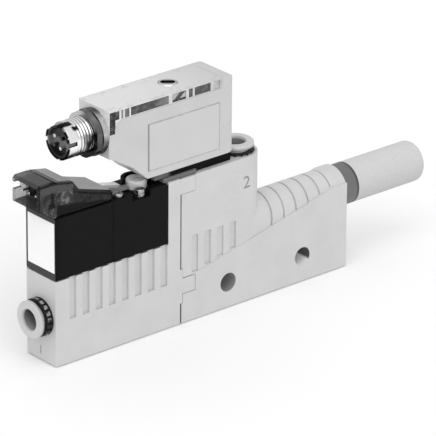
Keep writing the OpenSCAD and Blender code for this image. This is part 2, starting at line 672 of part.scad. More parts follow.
module plug_hood() color("#50505a", 0.6) difference() {
    union() {
        across(hood_w) polygon(hood_side(0));
        // clear tongue over the valve
        translate([0, (tongue_y[0] + tongue_y[1]) / 2, 0]) across(tongue_y[1] - tongue_y[0]) polygon([
            [hood_x1 - 0.3, hood_z + 0.4], [hood_x1 - 0.3, hood_z + 1.6],
            [tongue_x1, hood_z], [tongue_x1, hood_z - 0.7], [tongue_x1 - 1, hood_z - 0.7]]);
        box([tongue_x1 - 0.5, tongue_y[0], hood_z - 0.7],
            [tongue_x1 + tongue_tip[0], tongue_y[0] + tongue_tip[1], hood_z - 0.1]);
    }
    // space over the circuit board, open below
    intersection() {
        across(hood_w - 2 * hood_wall) polygon(hood_side(hood_wall));
        box([1.6, -half, hood_z - over], [hood_x1, half, hood_top]);
    }
    box([hood_wall, -hood_w / 2 + hood_wall, hood_z - over],
        [hood_x1 - hood_wall, hood_w / 2 - hood_wall, hood_z + 0.6]);
    // socket for the cable plug, with a latch notch at the mouth
    box([hood_x0 - over, -socket_w / 2, socket_z], [1.7, socket_w / 2, socket_z + socket_h]);
    box([hood_x0 - over, 0, socket_z + 0.5 * socket_h], [hood_x0 + 1.9, half, socket_z + 0.87 * socket_h]);
    // shadow line across the top, where the socket ends
    box([0.25, -half, hood_top - 0.2], [0.6, half, hood_top + over]);
}

module contact_carrier() color("#1c1c1e") {
    box([-0.3, -socket_w / 2 + clear, socket_z + clear],
        [1.65, socket_w / 2 - clear, socket_z + socket_h - clear]);
    box([1.7, -hood_w / 2 + hood_wall + clear, hood_z], [board_x0, hood_w / 2 - hood_wall - clear, socket_z]);
    box([1.62, -socket_w / 2 + clear, socket_z - 0.2], [2, socket_w / 2 - clear, socket_z + 1]);
}

pin_y = [-2.2, 0, 2.2];
module contact_pins() color("gold") for (y = pin_y) {
    z = socket_z + socket_h / 2;
    box([-2.9, y - 0.2, z - 0.2], [-0.3, y + 0.2, z + 0.2]);
    box([board_x0, y - 0.25, board_z + board_t], [board_x0 + pin_tail, y + 0.25, board_z + board_t + 0.5]);
}

module plug_board() color("darkgreen")
    box([board_x0, -3.6, board_z], [board_x1, 3.6, board_z + board_t]);

module plug_components() color("#151515") {
    z = board_z + board_t;
    translate([board_x(0.1), 0, z]) box([0, -3.2, 0], [1.6, -1.2, 1.3]);
    translate([board_x(0.16), 0, z]) box([0, 0.4, 0], [2.4, 2.8, 1.1]);
    translate([board_x(0.51), -2.2, z]) cylinder(h = 0.9, r = 0.7);
    translate([board_x(0.64), 0, z]) box([0, 0.8, 0], [1.4, 2.4, 0.5]);
}

module plug_lamp() color("orange") {
    z = board_z + board_t;
    translate([board_x(0.8), -1.6, z]) cylinder(h = 0.4, r = 0.75);
}

module coil_terminals() color("silver") for (y = [-2, 2])
    translate([terminal_x, y, armature_z + bobbin_flange_r - 0.37])
        cylinder(h = hood_z - armature_z - bobbin_flange_r + 0.37, r = 0.3);

// Vacuum switch

module switch_foot() color("#8a8a8c") difference() {
    union() {
        box([foot_x0, -half + foot_in, foot_z], [foot_x1, half - foot_in, foot_z + foot_h]);
        box([seam_x, -half + foot_in, tower_h + clear], [foot_x1, half - foot_in, foot_z + foot_h]);
    }
    translate([override_x, 0, foot_z - over]) cylinder(h = foot_h + 2, r = notch_r);
}

module foot_gasket() color("#1a1a1a") difference() {
    union() {
        box([foot_seal_x0, -half + foot_seal_in, foot_z + foot_h],
            [foot_x1, half - foot_seal_in, switch_z]);
        box([foot_x1, -half + 1.2, tower_h + clear], [switch_x1 - 0.5, half - 1.2, switch_z]);
    }
    translate([nipple_x, 0, tower_h]) cylinder(h = switch_z - tower_h + over, r = nipple_r + 0.1);
    translate([override_x, 0, valve_top]) cylinder(h = collar_h + clear, r = notch_r);
}

// Side view of the switch housing
function switch_side() = concat(
    [[switch_x0, chin_z], [switch_x0 + 1.6, chin_z - 0.7], [switch_x0 + 6.5, switch_z + 3.4],
     [switch_x0 + 10.3, switch_z], [switch_x1, switch_z]],
    arc([switch_x1 - switch_r, switch_top - switch_r], switch_r, 0, 90),
    [[switch_x1 - 4, switch_top], [switch_x1 - 4, cap_z]],
    arc([switch_x0 + wrap + 2, cap_z - 2], 2, 90, 180),
    [[switch_x0 + wrap, cap_z - 2.8], [switch_x0, cap_z - 2.8]]);

module switch_housing() color("gainsboro") difference() {
    intersection() {
        across(width) polygon(switch_side());
        linear_extrude(switch_top + over) polygon(plan(switch_x0, switch_x1, half, 0.15, switch_r));
    }
    // chamber for the electronics, open under the cap
    intersection() {
        box([switch_x0 + 2, -switch_in, switch_z + switch_wall],
            [switch_x1 - 5, switch_in, switch_top + over]);
        across(width) polygon([[switch_x0 + 2, chin_z + 0.6], [switch_x0 + 8, switch_z + 4.2],
            [switch_x0 + 11.2, switch_z + switch_wall], [switch_x1, switch_z + switch_wall],
            [switch_x1, switch_top + 2], [switch_x0 + 2, switch_top + 2]]);
    }
    rod(switch_x0 - over, switch_x0 + 3, sleeve_bore_r + seat, plug_z);
    translate([nipple_x, 0, switch_z - over]) cylinder(h = 5, r = nipple_r + seat);
}

// Clear cap: a lid with a skirt that is thinned to windows between its ribs
window_x = [[0.35, 2.4], [3.2, 0.6], [4.2, 1.2], [5.8, 10.2],
    [16.9, 3.8], [21.4, 1.1], [23, 4.4], [28.2, 1.8]];
module switch_cap() color("#e4e4e4", 0.7) difference() {
    intersection() {
        across(width) polygon(concat(
            [[switch_x0, cap_z - 2.75], [switch_x0 + wrap - 0.05, cap_z - 2.75],
             [switch_x0 + wrap - 0.05, cap_z - 2]],
            arc([switch_x0 + wrap + 2, cap_z - 2], 2.05, 180, 90),
            [[switch_x1 - 4.05, cap_z + 0.05], [switch_x1 - 4.05, switch_top], [switch_x0, switch_top]]));
        linear_extrude(switch_top + over) polygon(plan(switch_x0, switch_x1, half, 0.15, switch_r));
    }
    box([switch_x0 + 1.6, -switch_in, cap_z - 4], [switch_x1 - 5, switch_in, switch_top - 0.7]);
    for (w = window_x) both_flanks()
        box([switch_x0 + w[0], -half - over, cap_z + 0.2],
            [switch_x0 + w[0] + w[1], -half + 0.25, switch_top - 0.4]);
    // the first window runs on down the wrapped end
    both_flanks() box([switch_x0 + 0.35, -half - over, cap_z - 2.3],
        [switch_x0 + wrap - 0.25, -half + 0.25, cap_z + 0.3]);
    translate([dial_x, 0, cap_z]) cylinder(h = 5, r = dial_r + slip);
    rod(switch_x0 - over, switch_x0 + 3, sleeve_bore_r + 0.6, plug_z);
}

module switch_label() color("white")
    box([label_x0, -half - 0.08, label_z0], [label_x0 + label_l, -half, label_z1]);

module switch_board() color("darkgreen")
    box([switch_x0 + 4.2, -switch_in + clear, switch_board_z],
        [switch_x1 - 5.2, switch_in - clear, switch_board_z + 0.8]);

module display_parts() color("#151515") {
    z = switch_board_z + 0.8;
    both_flanks() {
        for (d = [[digits_x0, digits_l], [lamp_x0, lamp_l]])
            box([d[0], -switch_in + 0.3, z], [d[0] + d[1], -switch_in + 0.3 + digits_t, z + digits_h]);
    }
}

module setpoint_screw() color("silver") difference() {
    union() {
        translate([dial_x, 0, switch_top - 1.6]) cylinder(h = 1.5, r = dial_r);
        translate([dial_x, 0, switch_top - 0.1]) cylinder(h = 0.25, r1 = dial_r, r2 = dial_r - 0.25);
    }
    translate([dial_x, 0, switch_top]) rotate([0, 0, -39]) cube([3.2, 0.9, 1.9], center = true);
}

module trimmer() color("#2c4a7c")
    box([dial_x - 1.9, -2.2, switch_board_z + 0.8], [dial_x + 1.9, 2.2, switch_top - 1.65]);

module pressure_cell() color("#c8c8c0") difference() {
    box([nipple_x - cell_l / 2, -cell_w / 2, switch_board_z - cell_h],
        [nipple_x + cell_l / 2, cell_w / 2, switch_board_z]);
    translate([nipple_x, 0, switch_board_z - cell_h - over]) cylinder(h = cell_h, r = nipple_r + seat);
}

module suction_nipple() color("goldenrod") difference() {
    translate([nipple_x, 0, tower_h - nipple_in])
        cylinder(h = switch_board_z - 1.1 - tower_h + nipple_in, r = nipple_r);
    translate([nipple_x, 0, tower_h - nipple_in - over])
        cylinder(h = switch_board_z - tower_h + nipple_in + over, r = nipple_r / 2);
}

module nipple_seal() color("#202020") translate([nipple_x, 0, tower_h - 0.45]) rotate_extrude()
    translate([nipple_r + 0.5, 0]) circle(r = 0.45, $fn = 16);

// Round plug of the switch

module thread_sleeve() color("silver") difference() {
    union() {
        rod(thread_x0 + 0.3, relief_x, thread_r, plug_z);
        rod(thread_x0 + 0.3, switch_x0, thread_r - neck_d, plug_z);
        translate([thread_x0, 0, plug_z]) rotate([0, 90, 0])
            cylinder(h = 0.3, r1 = thread_r - 0.25, r2 = thread_r);
        rod(switch_x0 - over, switch_x0 + 2.2, sleeve_bore_r, plug_z);
    }
    rod(thread_x0 - over, switch_x0 + 3, 2.9, plug_z);
    rod(thread_x0 - over, insert_x0 + 3, sleeve_bore_r, plug_z);
    for (a = [20, 110, 200, 290]) translate([thread_x0, 0, plug_z]) rotate([a, 0, 0])
        translate([-over, 0, 0]) box([0, -0.6, 2.9], [over + 1.5, 0.6, 6]);
}

module plug_nut() color("#a8a8ac") difference() {
    intersection() {
        rod(nut_x, flange_x - 0.05, nut_r, plug_z);
        translate([nut_x, 0, plug_z]) rotate([0, 90, 0]) cylinder(h = nut_t, r = nut_r * 1.11, $fn = 6);
    }
    rod(nut_x - over, flange_x + over, thread_r - neck_d + seat, plug_z);
}

module plug_flange() color("#8c8c90") difference() {
    rod(flange_x, switch_x0, flange_r, plug_z);
    rod(flange_x - over, switch_x0 + over, thread_r - neck_d + seat, plug_z);
}

module plug_insert() color("#2a2a2c") difference() {
    rod(insert_x0, insert_x0 + 2.9, sleeve_bore_r - seat, plug_z);
    rod(insert_x0 - over, insert_x0 + 1, sleeve_bore_r - 0.5, plug_z);
    translate([insert_x0 - over, -0.4, plug_z + sleeve_bore_r - 0.8]) cube([3, 0.8, 2]);
}

module plug_pins() color("gold") for (a = [50:90:320]) {
    y = pin_ring_r * cos(a);
    z = plug_z + pin_ring_r * sin(a);
    rod(insert_x0 - 0.1, insert_x0 + 1, pin_r, z, y);
}

place() valve_block();
place() ejector_body();
place() seam_seal();
place() at_supply() cartridge();  // supply_cartridge
place() at_supply() grip_ring();  // supply_grip_ring
place() at_supply() tube_seal();  // supply_tube_seal
place() at_supply() release_ring();  // supply_release_ring
place() at_vacuum() cartridge();  // vacuum_cartridge
place() at_vacuum() grip_ring();  // vacuum_grip_ring
place() at_vacuum() tube_seal();  // vacuum_tube_seal
place() at_vacuum() release_ring();  // vacuum_release_ring
place() jet_nozzle();
place() receiver_nozzle();
place() nozzle_seals();
place() silencer_collar();
place() silencer_tube();
place() valve_gasket();
place() valve_body();
place() coil_housing();
place() valve_label();
place() coil_bobbin();
place() coil_winding();
place() coil_yoke();
place() coil_core();
place() armature();
place() poppet_seal();
place() armature_spring();
place() valve_screws();
place() override_button();
place() override_spring();
place() override_collar();
place() plug_hood();
place() contact_carrier();
place() contact_pins();
place() plug_board();
place() plug_components();
place() plug_lamp();
place() coil_terminals();
place() switch_foot();
place() foot_gasket();
place() switch_housing();
place() switch_cap();
place() switch_label();
place() switch_board();
place() display_parts();
place() setpoint_screw();
place() trimmer();
place() pressure_cell();
place() suction_nipple();
place() nipple_seal();
place() thread_sleeve();
place() plug_nut();
place() plug_flange();
place() plug_insert();
place() plug_pins();
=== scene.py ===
"""Looks of a small inline vacuum ejector with pilot valve and vacuum switch."""
import math
import bmesh
import bpy
from mathutils import Matrix, Vector


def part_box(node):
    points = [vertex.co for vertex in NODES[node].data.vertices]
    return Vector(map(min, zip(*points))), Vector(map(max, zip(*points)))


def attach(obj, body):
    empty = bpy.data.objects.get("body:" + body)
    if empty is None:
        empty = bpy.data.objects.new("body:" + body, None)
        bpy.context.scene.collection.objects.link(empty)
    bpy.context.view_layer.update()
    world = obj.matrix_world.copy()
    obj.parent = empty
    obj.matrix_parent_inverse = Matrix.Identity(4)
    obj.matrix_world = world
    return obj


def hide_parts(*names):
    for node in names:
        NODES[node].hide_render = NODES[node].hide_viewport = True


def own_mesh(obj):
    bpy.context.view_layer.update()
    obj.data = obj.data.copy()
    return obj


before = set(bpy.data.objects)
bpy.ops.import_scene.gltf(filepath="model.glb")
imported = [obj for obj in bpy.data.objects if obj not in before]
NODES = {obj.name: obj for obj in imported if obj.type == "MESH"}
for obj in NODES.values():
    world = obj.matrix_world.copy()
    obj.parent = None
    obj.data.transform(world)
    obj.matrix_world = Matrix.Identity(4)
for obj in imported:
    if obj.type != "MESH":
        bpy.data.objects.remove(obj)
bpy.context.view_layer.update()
MM = 0.001

END_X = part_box("valve_block")[0].x          # supply end of the body
scene = bpy.context.scene


def at(x, y, z):
    """A point given in mm from the supply end, the middle plane and the underside."""
    return Vector((END_X + x * MM, y * MM, z * MM))


# ---------------------------------------------------------------- materials

class Nodes:
    """Short way to write one material's node tree."""

    def __init__(self, name):
        self.mat = bpy.data.materials.new(name)
        self.mat.use_nodes = True
        self.tree = self.mat.node_tree
        self.shader = self.tree.nodes["Principled BSDF"]
        self.place = self.add("ShaderNodeTexCoord").outputs["Object"]

    def add(self, kind, **values):
        """New node; values are its settings, or its inputs where it has no such setting."""
        node = self.tree.nodes.new(kind)
        for key, value in values.items():
            if hasattr(node, key):
                setattr(node, key, value)
            else:
                node.inputs[key.replace("_", " ")].default_value = value
        return node

    def link(self, out, socket):
        """Link an output to a socket."""
        self.tree.links.new(out, socket)

    def noise(self, size_mm, detail=3.0, stretch=None):
        """Noise from 0 to 1 with grains of about that size."""
        node = self.add("ShaderNodeTexNoise", Scale=1000.0 / size_mm, Detail=detail)
        place = self.place
        if stretch:
            mapping = self.add("ShaderNodeMapping")
            mapping.inputs["Scale"].default_value = stretch
            self.link(self.place, mapping.inputs["Vector"])
            place = mapping.outputs["Vector"]
        self.link(place, node.inputs["Vector"])
        return node.outputs["Fac"]

    def cloud(self, size_mm, detail, low, high, to_low=0.0, to_high=1.0):
        """Mottled mask: noise whose values from low to high are spread over the mask's range."""
        return self.spread(self.noise(size_mm, detail), low, high, to_low, to_high)

    def math(self, operation, a, b=None, c=None, clamp=False):
        """Result of an operation on outputs or numbers."""
        node = self.add("ShaderNodeMath", operation=operation)
        node.use_clamp = clamp
        for socket, value in zip(node.inputs, (a, b, c)):
            if value is None:
                continue
            if isinstance(value, (int, float)):
                socket.default_value = value
            else:
                self.link(value, socket)
        return node.outputs["Value"]

    def spread(self, value, low, high, to_low=0.0, to_high=1.0):
        """The value's range from low to high, spread over another range and cut off outside it."""
        node = self.add("ShaderNodeMapRange")
        node.inputs["From Min"].default_value = low
        node.inputs["From Max"].default_value = high
        node.inputs["To Min"].default_value = to_low
        node.inputs["To Max"].default_value = to_high
        self.link(value, node.inputs["Value"])
        return node.outputs["Result"]

    def mix(self, factor, a, b):
        """Colour a where the factor is 0, b where it is 1."""
        node = self.add("ShaderNodeMix", data_type="RGBA")
        self.link(factor, node.inputs["Factor"])
        for socket, value in ((node.inputs[6], a), (node.inputs[7], b)):
            if isinstance(value, bpy.types.NodeSocket):
                self.link(value, socket)
            else:
                socket.default_value = value
        return node.outputs[2]

    def paint(self, tone, places):
        """The tone with each (mask, colour) laid over it in turn."""
        for where, colour in places:
            tone = self.mix(where, tone, colour)
        return tone

    def axes(self):
        """Place on the object in metres, as x, y and z."""
        node = self.add("ShaderNodeSeparateXYZ")
        self.link(self.place, node.inputs["Vector"])
        return node.outputs

    def facing(self):
        """Direction that the surface faces, as x, y and z."""
        node = self.add("ShaderNodeSeparateXYZ")
        self.link(self.add("ShaderNodeNewGeometry").outputs["Normal"], node.inputs[0])
        return node.outputs

    def above(self, value, level, soft):
        """1 where the value is above the level, with an edge that soft."""
        return self.spread(value, level - soft / 2, level + soft / 2)

    def below(self, value, level, soft):
        """1 where the value is below the level, with an edge that soft."""
        return self.spread(value, level - soft / 2, level + soft / 2, 1.0, 0.0)

    def line(self, x, a, b):
        """Height at x of the straight line from a to b, both (x, z) in mm on the part."""
        a, b = at(a[0], 0, a[1]), at(b[0], 0, b[1])
        steep = (b.z - a.z) / (b.x - a.x)
        return self.math("MULTIPLY_ADD", x, steep, a.z - steep * a.x)

    def between(self, value, low, high, soft):
        """1 where the value is between low and high, with edges that soft."""
        return self.both(self.above(value, low, soft), self.below(value, high, soft))

    def either(self, a, b):
        """1 where one of two masks is."""
        return self.math("MAXIMUM", a, b)

    def invert(self, mask):
        """1 where the mask is 0."""
        return self.math("SUBTRACT", 1.0, mask)

    def both(self, *masks):
        """Product of the masks."""
        out = masks[0]
        for mask in masks[1:]:
            out = self.math("MULTIPLY", out, mask)
        return out

    def radius(self, centre, axis):
        """Distance from the line through centre along that axis."""
        flat = self.add("ShaderNodeCombineXYZ")
        for i, out in enumerate(self.axes()):
            if i != axis:
                self.link(out, flat.inputs[i])
        dist = self.add("ShaderNodeVectorMath", operation="DISTANCE")
        self.link(flat.outputs[0], dist.inputs[0])
        dist.inputs[1].default_value = [0 if i == axis else centre[i] for i in range(3)]
        return dist.outputs["Value"]

    def ramp(self, value, stops):
        """Greys from a list of (position, level)."""
        node = self.add("ShaderNodeValToRGB")
        points = node.color_ramp.elements
        while len(points) < len(stops):
            points.new(0.5)
        for point, (position, level) in zip(points, stops):
            point.position = position
            point.color = grey(level)
        self.link(value, node.inputs["Fac"])
        return node.outputs["Color"]

    def soft_edges(self, radius_mm):
        """Normal with rounded edges, and a mask that is 1 on the edges."""
        bevel = self.add("ShaderNodeBevel", samples=4)
        bevel.inputs["Radius"].default_value = radius_mm * MM
        flat = self.add("ShaderNodeNewGeometry").outputs["Normal"]
        dot = self.add("ShaderNodeVectorMath", operation="DOT_PRODUCT")
        self.link(bevel.outputs["Normal"], dot.inputs[0])
        self.link(flat, dot.inputs[1])
        return bevel.outputs["Normal"], self.spread(dot.outputs["Value"], 0.98, 0.75)

    def bump(self, height, depth_mm, normal):
        """Bump of the given depth on top of the normal, as the shader's normal."""
        node = self.add("ShaderNodeBump")
        node.inputs["Distance"].default_value = depth_mm * MM
        node.inputs["Strength"].default_value = 1.0
        self.link(height, node.inputs["Height"])
        self.link(normal, node.inputs["Normal"])
        self.link(node.outputs["Normal"], self.shader.inputs["Normal"])


def grey(level, warm=0.0):
    """Linear colour of an sRGB grey from 0 to 255."""
    c = level / 255
    v = c / 12.92 if c <= 0.04045 else ((c + 0.055) / 1.055) ** 2.4
    return (v * (1 + warm), v, v * (1 - warm), 1.0)


def plastic(name, level, rough=0.45, grain=0.12, depth=0.004, vary=4, edge=0.12, edge_highlight=8, warm=0.0,
            patch=6.0, shine=0.5, paint=None):
    """Moulded plastic: fine grain, faint flow patches, and a painted highlight on the rounded edges.

    level is the mean grey from 0 to 255 and vary its spread; grain, depth, edge and patch are in mm.
    """
    n = Nodes(name)
    patches = n.noise(patch, 2.0)
    specks = n.noise(grain * 3, 2.0)
    total = n.math("ADD", n.math("MULTIPLY", specks, 0.4), n.math("MULTIPLY", patches, 0.6))
    tone = n.mix(n.spread(total, 0.35, 0.65), grey(level - vary, warm), grey(level + vary, warm))
    normal, mask = n.soft_edges(edge)
    # painted highlight: the rounded edges are mixed towards a paler grey
    tone = n.mix(n.math("MULTIPLY", mask, 0.5), tone, grey(min(level + vary + edge_highlight, 255), warm))
    if paint:
        tone = n.paint(tone, paint(n))
    n.link(tone, n.shader.inputs["Base Color"])
    n.shader.inputs["Specular IOR Level"].default_value = shine
    n.link(n.spread(patches, 0.3, 0.7, rough - 0.05, rough + 0.06), n.shader.inputs["Roughness"])
    n.bump(n.noise(grain, 2.0), depth, normal)
    return n


def metal(name, level, rough, brushed=None, tint=(1, 1, 1, 1), paint=None):
    """Plated or bare metal with fine turning marks."""
    n = Nodes(name)
    marks = n.noise(TURNING_MARKS, 2.0, brushed)
    low, high = (tuple(a * b for a, b in zip(grey(tone), tint)) for tone in (level - 14, level + 8))
    tone = n.mix(marks, low, high)
    if paint:
        tone = n.paint(tone, paint(n))
    n.link(tone, n.shader.inputs["Base Color"])
    n.shader.inputs["Metallic"].default_value = 1.0
    n.link(n.cloud(1.5, 3.0, 0.3, 0.7, rough - 0.08, rough + 0.1), n.shader.inputs["Roughness"])
    normal, _ = n.soft_edges(METAL_EDGE)
    n.bump(marks, 0.003, normal)
    return n


def rubber(name, level, paint=None):
    """Dull moulded rubber."""
    return plastic(name, level, rough=0.72, grain=0.08, depth=0.006, vary=3, edge=0.08, edge_highlight=6,
                   shine=0.15, paint=paint)


# ---- places on the part, and the tones that masks in the object's own coordinates lay on them

TURNING_MARKS = 0.12                        # grain of turned metal in mm
METAL_EDGE = 0.08                           # rounding of metal edges in mm
SEAM_X = at(33.6, 0, 0).x                   # joint between the two halves of the body
SEAM_W = 0.42 * MM
BODY_END_X = at(80.95, 0, 0).x              # exhaust end of the body
TOWER_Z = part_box("valve_block")[1].z
TONGUE_REACH = 4.3 * MM                     # length of the snap tongues' pockets beyond the seam
TONGUE_LOW = 6.6 * MM, 10.55 * MM           # heights of the lower tongue's pocket
TONGUE_HIGH = 29.7 * MM, TOWER_Z - 1.2 * MM  # heights of the upper tongue's pocket
HOLES = at(47, 0, 5.85), at(68.2, 0, 5.85)  # mounting holes
HOLE_R = 2.3 * MM                           # takes in a mounting hole's wall
PORT_BORE_R = 2.28 * MM                     # takes in a release ring's bore
RING_RIM_R = 3.95 * MM                      # outer rim of a release ring
TEETH_R = 4.05 * MM                         # toothed rim of a cartridge
CAP_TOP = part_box("switch_cap")[1].z
HOOD_LOW, HOOD_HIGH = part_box("plug_hood")
PLUG_Z = sum(v.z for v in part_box("plug_insert")) / 2
PLUG_AXIS = Vector((0, 0, PLUG_Z))
SLOT_TURN = math.radians(39)                # the setpoint screw's slot, from the part's length
SLOT_HALF = 0.95 * MM
DIAL_R = 1.5 * MM                           # radius of the slot's painted shade; the painted highlight on the rim lies beyond it


def seam_paint(n):
    """Painted shadow in the seam and round the snap tongues, and painted light and shade in the mounting
    holes.
    """
    x, y, z = n.axes()
    side = n.math("ABSOLUTE", y)
    behind = n.above(x, SEAM_X - 0.05 * MM, 0.01 * MM)
    slot = n.both(behind, n.below(x, SEAM_X + SEAM_W, 0.02 * MM))
    reach = n.both(behind, n.below(x, SEAM_X + TONGUE_REACH, 0.02 * MM))
    low, high = (n.between(z, *span, 0.02 * MM) for span in (TONGUE_LOW, TONGUE_HIGH))
    place = n.either(slot, n.both(reach, n.either(low, high)))
    inside = n.both(n.below(side, 4.83 * MM, 0.03 * MM), n.below(z, TOWER_Z - 0.03 * MM, 0.01 * MM))
    left, right = (n.both(n.below(n.radius(hole, 1), HOLE_R, 0.05 * MM), n.below(side, 4.9 * MM, 0.1 * MM))
                   for hole in HOLES)
    slant = n.math("ADD", n.math("MULTIPLY", x, 0.6), z)
    middle = HOLES[1].x * 0.6 + HOLES[1].z
    lit = n.mix(n.above(slant, middle + 0.1 * MM, 0.6 * MM), grey(255), grey(84))
    return [(n.both(inside, place), grey(70)), (left, grey(153)), (right, lit)]


def port_depth(n, node, axis):
    """Distance into a port from a piece's outer face. Axis 0 opens at the supply end, axis 2 upwards."""
    low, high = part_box(node)
    along = n.axes()[axis]
    return n.math("SUBTRACT", along, low.x) if axis == 0 else n.math("SUBTRACT", high.z, along)


def ring_paint(node, axis, low_tone, high_tone):
    """Shaded bore and rim for a release ring; the rim faces out of the port."""
    low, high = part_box(node)
    rise = 2 if axis == 0 else 1            # direction in which the bore's tone changes

    def paint(n):
        r = n.radius((low + high) / 2, axis)
        depth = port_depth(n, node, axis)
        bore = n.both(n.below(r, PORT_BORE_R, 0.08 * MM), n.above(depth, 0.35 * MM, 0.3 * MM))
        rim = n.both(n.above(r, RING_RIM_R, 0.1 * MM), n.spread(depth, 0.3 * MM, 1.0 * MM))
        height = n.spread(n.axes()[rise], low[rise] + 1.5 * MM, high[rise] - 2.5 * MM)
        return [(rim, grey(125)), (bore, n.mix(height, grey(low_tone), grey(high_tone)))]
    return paint


def teeth_paint(node, axis):
    """Painted light on a cartridge's toothed rim; at the supply end only its upper teeth and its foot catch
    it.
    """
    low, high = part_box(node)
    centre = (low + high) / 2

    def paint(n):
        depth = port_depth(n, node, axis)
        rim = n.above(n.radius(centre, axis), TEETH_R, 0.05 * MM)
        if axis == 2:
            return [(n.both(n.above(depth, 0.3 * MM, 0.2 * MM), rim), grey(176))]
        height = n.axes()[2]
        lit = n.either(n.above(height, centre.z + 0.6 * MM, 0.6 * MM),
                       n.below(height, centre.z - 2.5 * MM, 0.3 * MM))
        band = n.between(depth, 0.15 * MM, 0.95 * MM, 0.15 * MM)
        return [(n.both(band, lit, rim, n.cloud(0.8, 1.0, 0.38, 0.56)), grey(156))]
    return paint


def valve_paint(n):
    """Painted light on the supply end of the coil housing, and painted shade that makes its upright edge deep
    black.
    """
    x, y, _ = n.axes()
    end = n.below(x, END_X + 0.03 * MM, 0.01 * MM)
    edge = n.both(n.below(x, END_X + 1.1 * MM, 0.15 * MM), n.below(y, -4.6 * MM, 0.05 * MM))
    return [(end, grey(70)), (n.both(edge, n.invert(end)), grey(10))]


def label_paint(n):
    """Thin printed outline, faint but on the left."""
    low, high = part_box("switch_label")
    x, _, z = n.axes()
    left = n.below(x, low.x + 0.3 * MM, 0.05 * MM)
    right = n.above(x, high.x - 0.18 * MM, 0.04 * MM)
    level = n.either(n.above(z, high.z - 0.2 * MM, 0.04 * MM), n.below(z, low.z + 0.16 * MM, 0.04 * MM))
    faint = n.both(n.either(level, right), n.cloud(0.9, 1.0, 0.3, 0.6, 0.35, 0.9))
    return [(faint, grey(160)), (left, grey(138))]


def collar_paint(n):
    """Darker rim beside the silencer, and painted shade in small spots at the joint with the body."""
    x = n.axes()[0]
    rim = n.above(x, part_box("silencer_collar")[1].x - 0.55 * MM, 0.2 * MM)
    joint = n.below(x, BODY_END_X + 0.45 * MM, 0.1 * MM)
    return [(rim, grey(66)), (n.both(joint, n.cloud(1.4, 1.0, 0.45, 0.6)), grey(30))]


def gasket_paint(n):
    """Painted light: the gasket's end towards the supply side is grey."""
    return [(n.below(n.axes()[0], at(31.2, 0, 0).x, 1.2 * MM), grey(104))]


def insert_paint(n):
    """Painted light on the middle of the plug's insert and painted shade at its foot and head, with wavy
    borders.
    """
    waves = n.math("MULTIPLY", n.noise(1.0, 2.0), 0.8 * MM)
    height = n.math("ADD", n.math("SUBTRACT", n.axes()[2], PLUG_Z), waves)
    return [(n.between(height, -0.9 * MM, 0.9 * MM, 0.4 * MM), grey(118)),
            (n.below(height, -1.1 * MM, 0.4 * MM), grey(26)),
            (n.above(height, 2.6 * MM, 0.3 * MM), grey(24))]


def pin_paint(n):
    """Two of the four pins stand in shade."""
    _, y, z = n.axes()
    quarter = n.math("MULTIPLY", y, n.math("SUBTRACT", z, PLUG_Z))
    return [(n.below(quarter, 0.0, 1e-8), grey(70))]


def dial_paint(n):
    """Painted shade in the screwdriver slot, and a painted highlight on the pale rim round it."""
    low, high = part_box("setpoint_screw")
    centre = (low + high) / 2
    x, y, _ = n.axes()
    offset = n.math("ADD", n.math("MULTIPLY", n.math("SUBTRACT", x, centre.x), math.sin(SLOT_TURN)),
                    n.math("MULTIPLY", y, math.cos(SLOT_TURN)))
    slot = n.below(n.math("ABSOLUTE", offset), SLOT_HALF, 0.1 * MM)
    r = n.radius(centre, 2)
    rim = n.both(n.above(r, DIAL_R, 0.2 * MM), n.invert(slot))
    return [(rim, grey(222)), (n.both(slot, n.below(r, DIAL_R, 0.1 * MM)), grey(5))]


# ---- plating: painted reflections and shade, as greys by the share of a turn round the plug, from -180 to 180 degrees

# painted reflections and shade: these tone tables stand in for light round the plug, not for the metal's own
# colour
SLEEVE_TONES = [(0, 120), (0.25, 22), (0.35, 22), (0.42, 120), (0.46, 238), (0.50, 252), (0.62, 252),
                (0.75, 234), (0.85, 150), (1, 120)]
ROOT_TONES = [(0, 60), (0.45, 20), (0.52, 90), (0.6, 165), (0.8, 165)]
ROOT_R = 3.87 * MM                          # thread roots lie within this radius
SLEEVE_R = 3.65 * MM                        # the sleeve's outside lies beyond this radius
NUT_TONES = [(0, 90), (0.25, 12), (0.38, 24), (0.44, 70), (0.50, 96), (0.58, 104), (0.66, 140), (0.72, 96),
             (0.80, 88), (1, 90)]
FLANGE_TONES = [(0, 90), (0.25, 12), (0.40, 34), (0.46, 96), (0.50, 150), (0.56, 205), (0.64, 215),
                (0.69, 130), (0.73, 84), (0.80, 80), (1, 90)]
FACE_TONES = [(0, 150), (0.25, 12), (0.40, 30), (0.46, 78), (0.62, 84), (0.70, 120), (0.78, 182),
              (0.95, 190), (1, 150)]


def around_plug(n):
    """Angle round the plug in degrees: 0 at the front, 90 on top, -90 below, with ragged edges."""
    _, y, z = n.axes()
    turn = n.math("ARCTAN2", n.math("SUBTRACT", z, PLUG_Z), n.math("MULTIPLY", y, -1.0))
    ragged = n.math("MULTIPLY", n.math("SUBTRACT", n.noise(1.6, 2.0), 0.5), 26.0)
    return n.math("ADD", n.math("MULTIPLY", turn, 180 / math.pi), ragged)


def plated(name, side, rough, marks, face=None, roots=None):
    """Polished plating whose painted reflections and shade run round the plug; face is for surfaces that face
    the supply end.
    """
    n = Nodes(name)
    turn = around_plug(n)
    share = n.spread(turn, -180.0, 180.0)
    tone = n.ramp(share, side)
    if face:
        tone = n.mix(n.below(n.facing()[0], -0.6, 0.1), tone, n.ramp(share, face))
    if roots:
        tone = n.mix(n.below(n.radius(PLUG_AXIS, 0), ROOT_R, 0.05 * MM), tone, n.ramp(share, roots))
    n.link(n.paint(tone, marks(n, turn)), n.shader.inputs["Base Color"])
    n.shader.inputs["Metallic"].default_value = 1.0
    n.link(n.cloud(1.5, 3.0, 0.3, 0.7, rough - 0.06, rough + 0.1), n.shader.inputs["Roughness"])
    normal, _ = n.soft_edges(METAL_EDGE)
    n.bump(n.noise(TURNING_MARKS, 2.0, (0.1, 1, 1)), 0.003, normal)
    return n


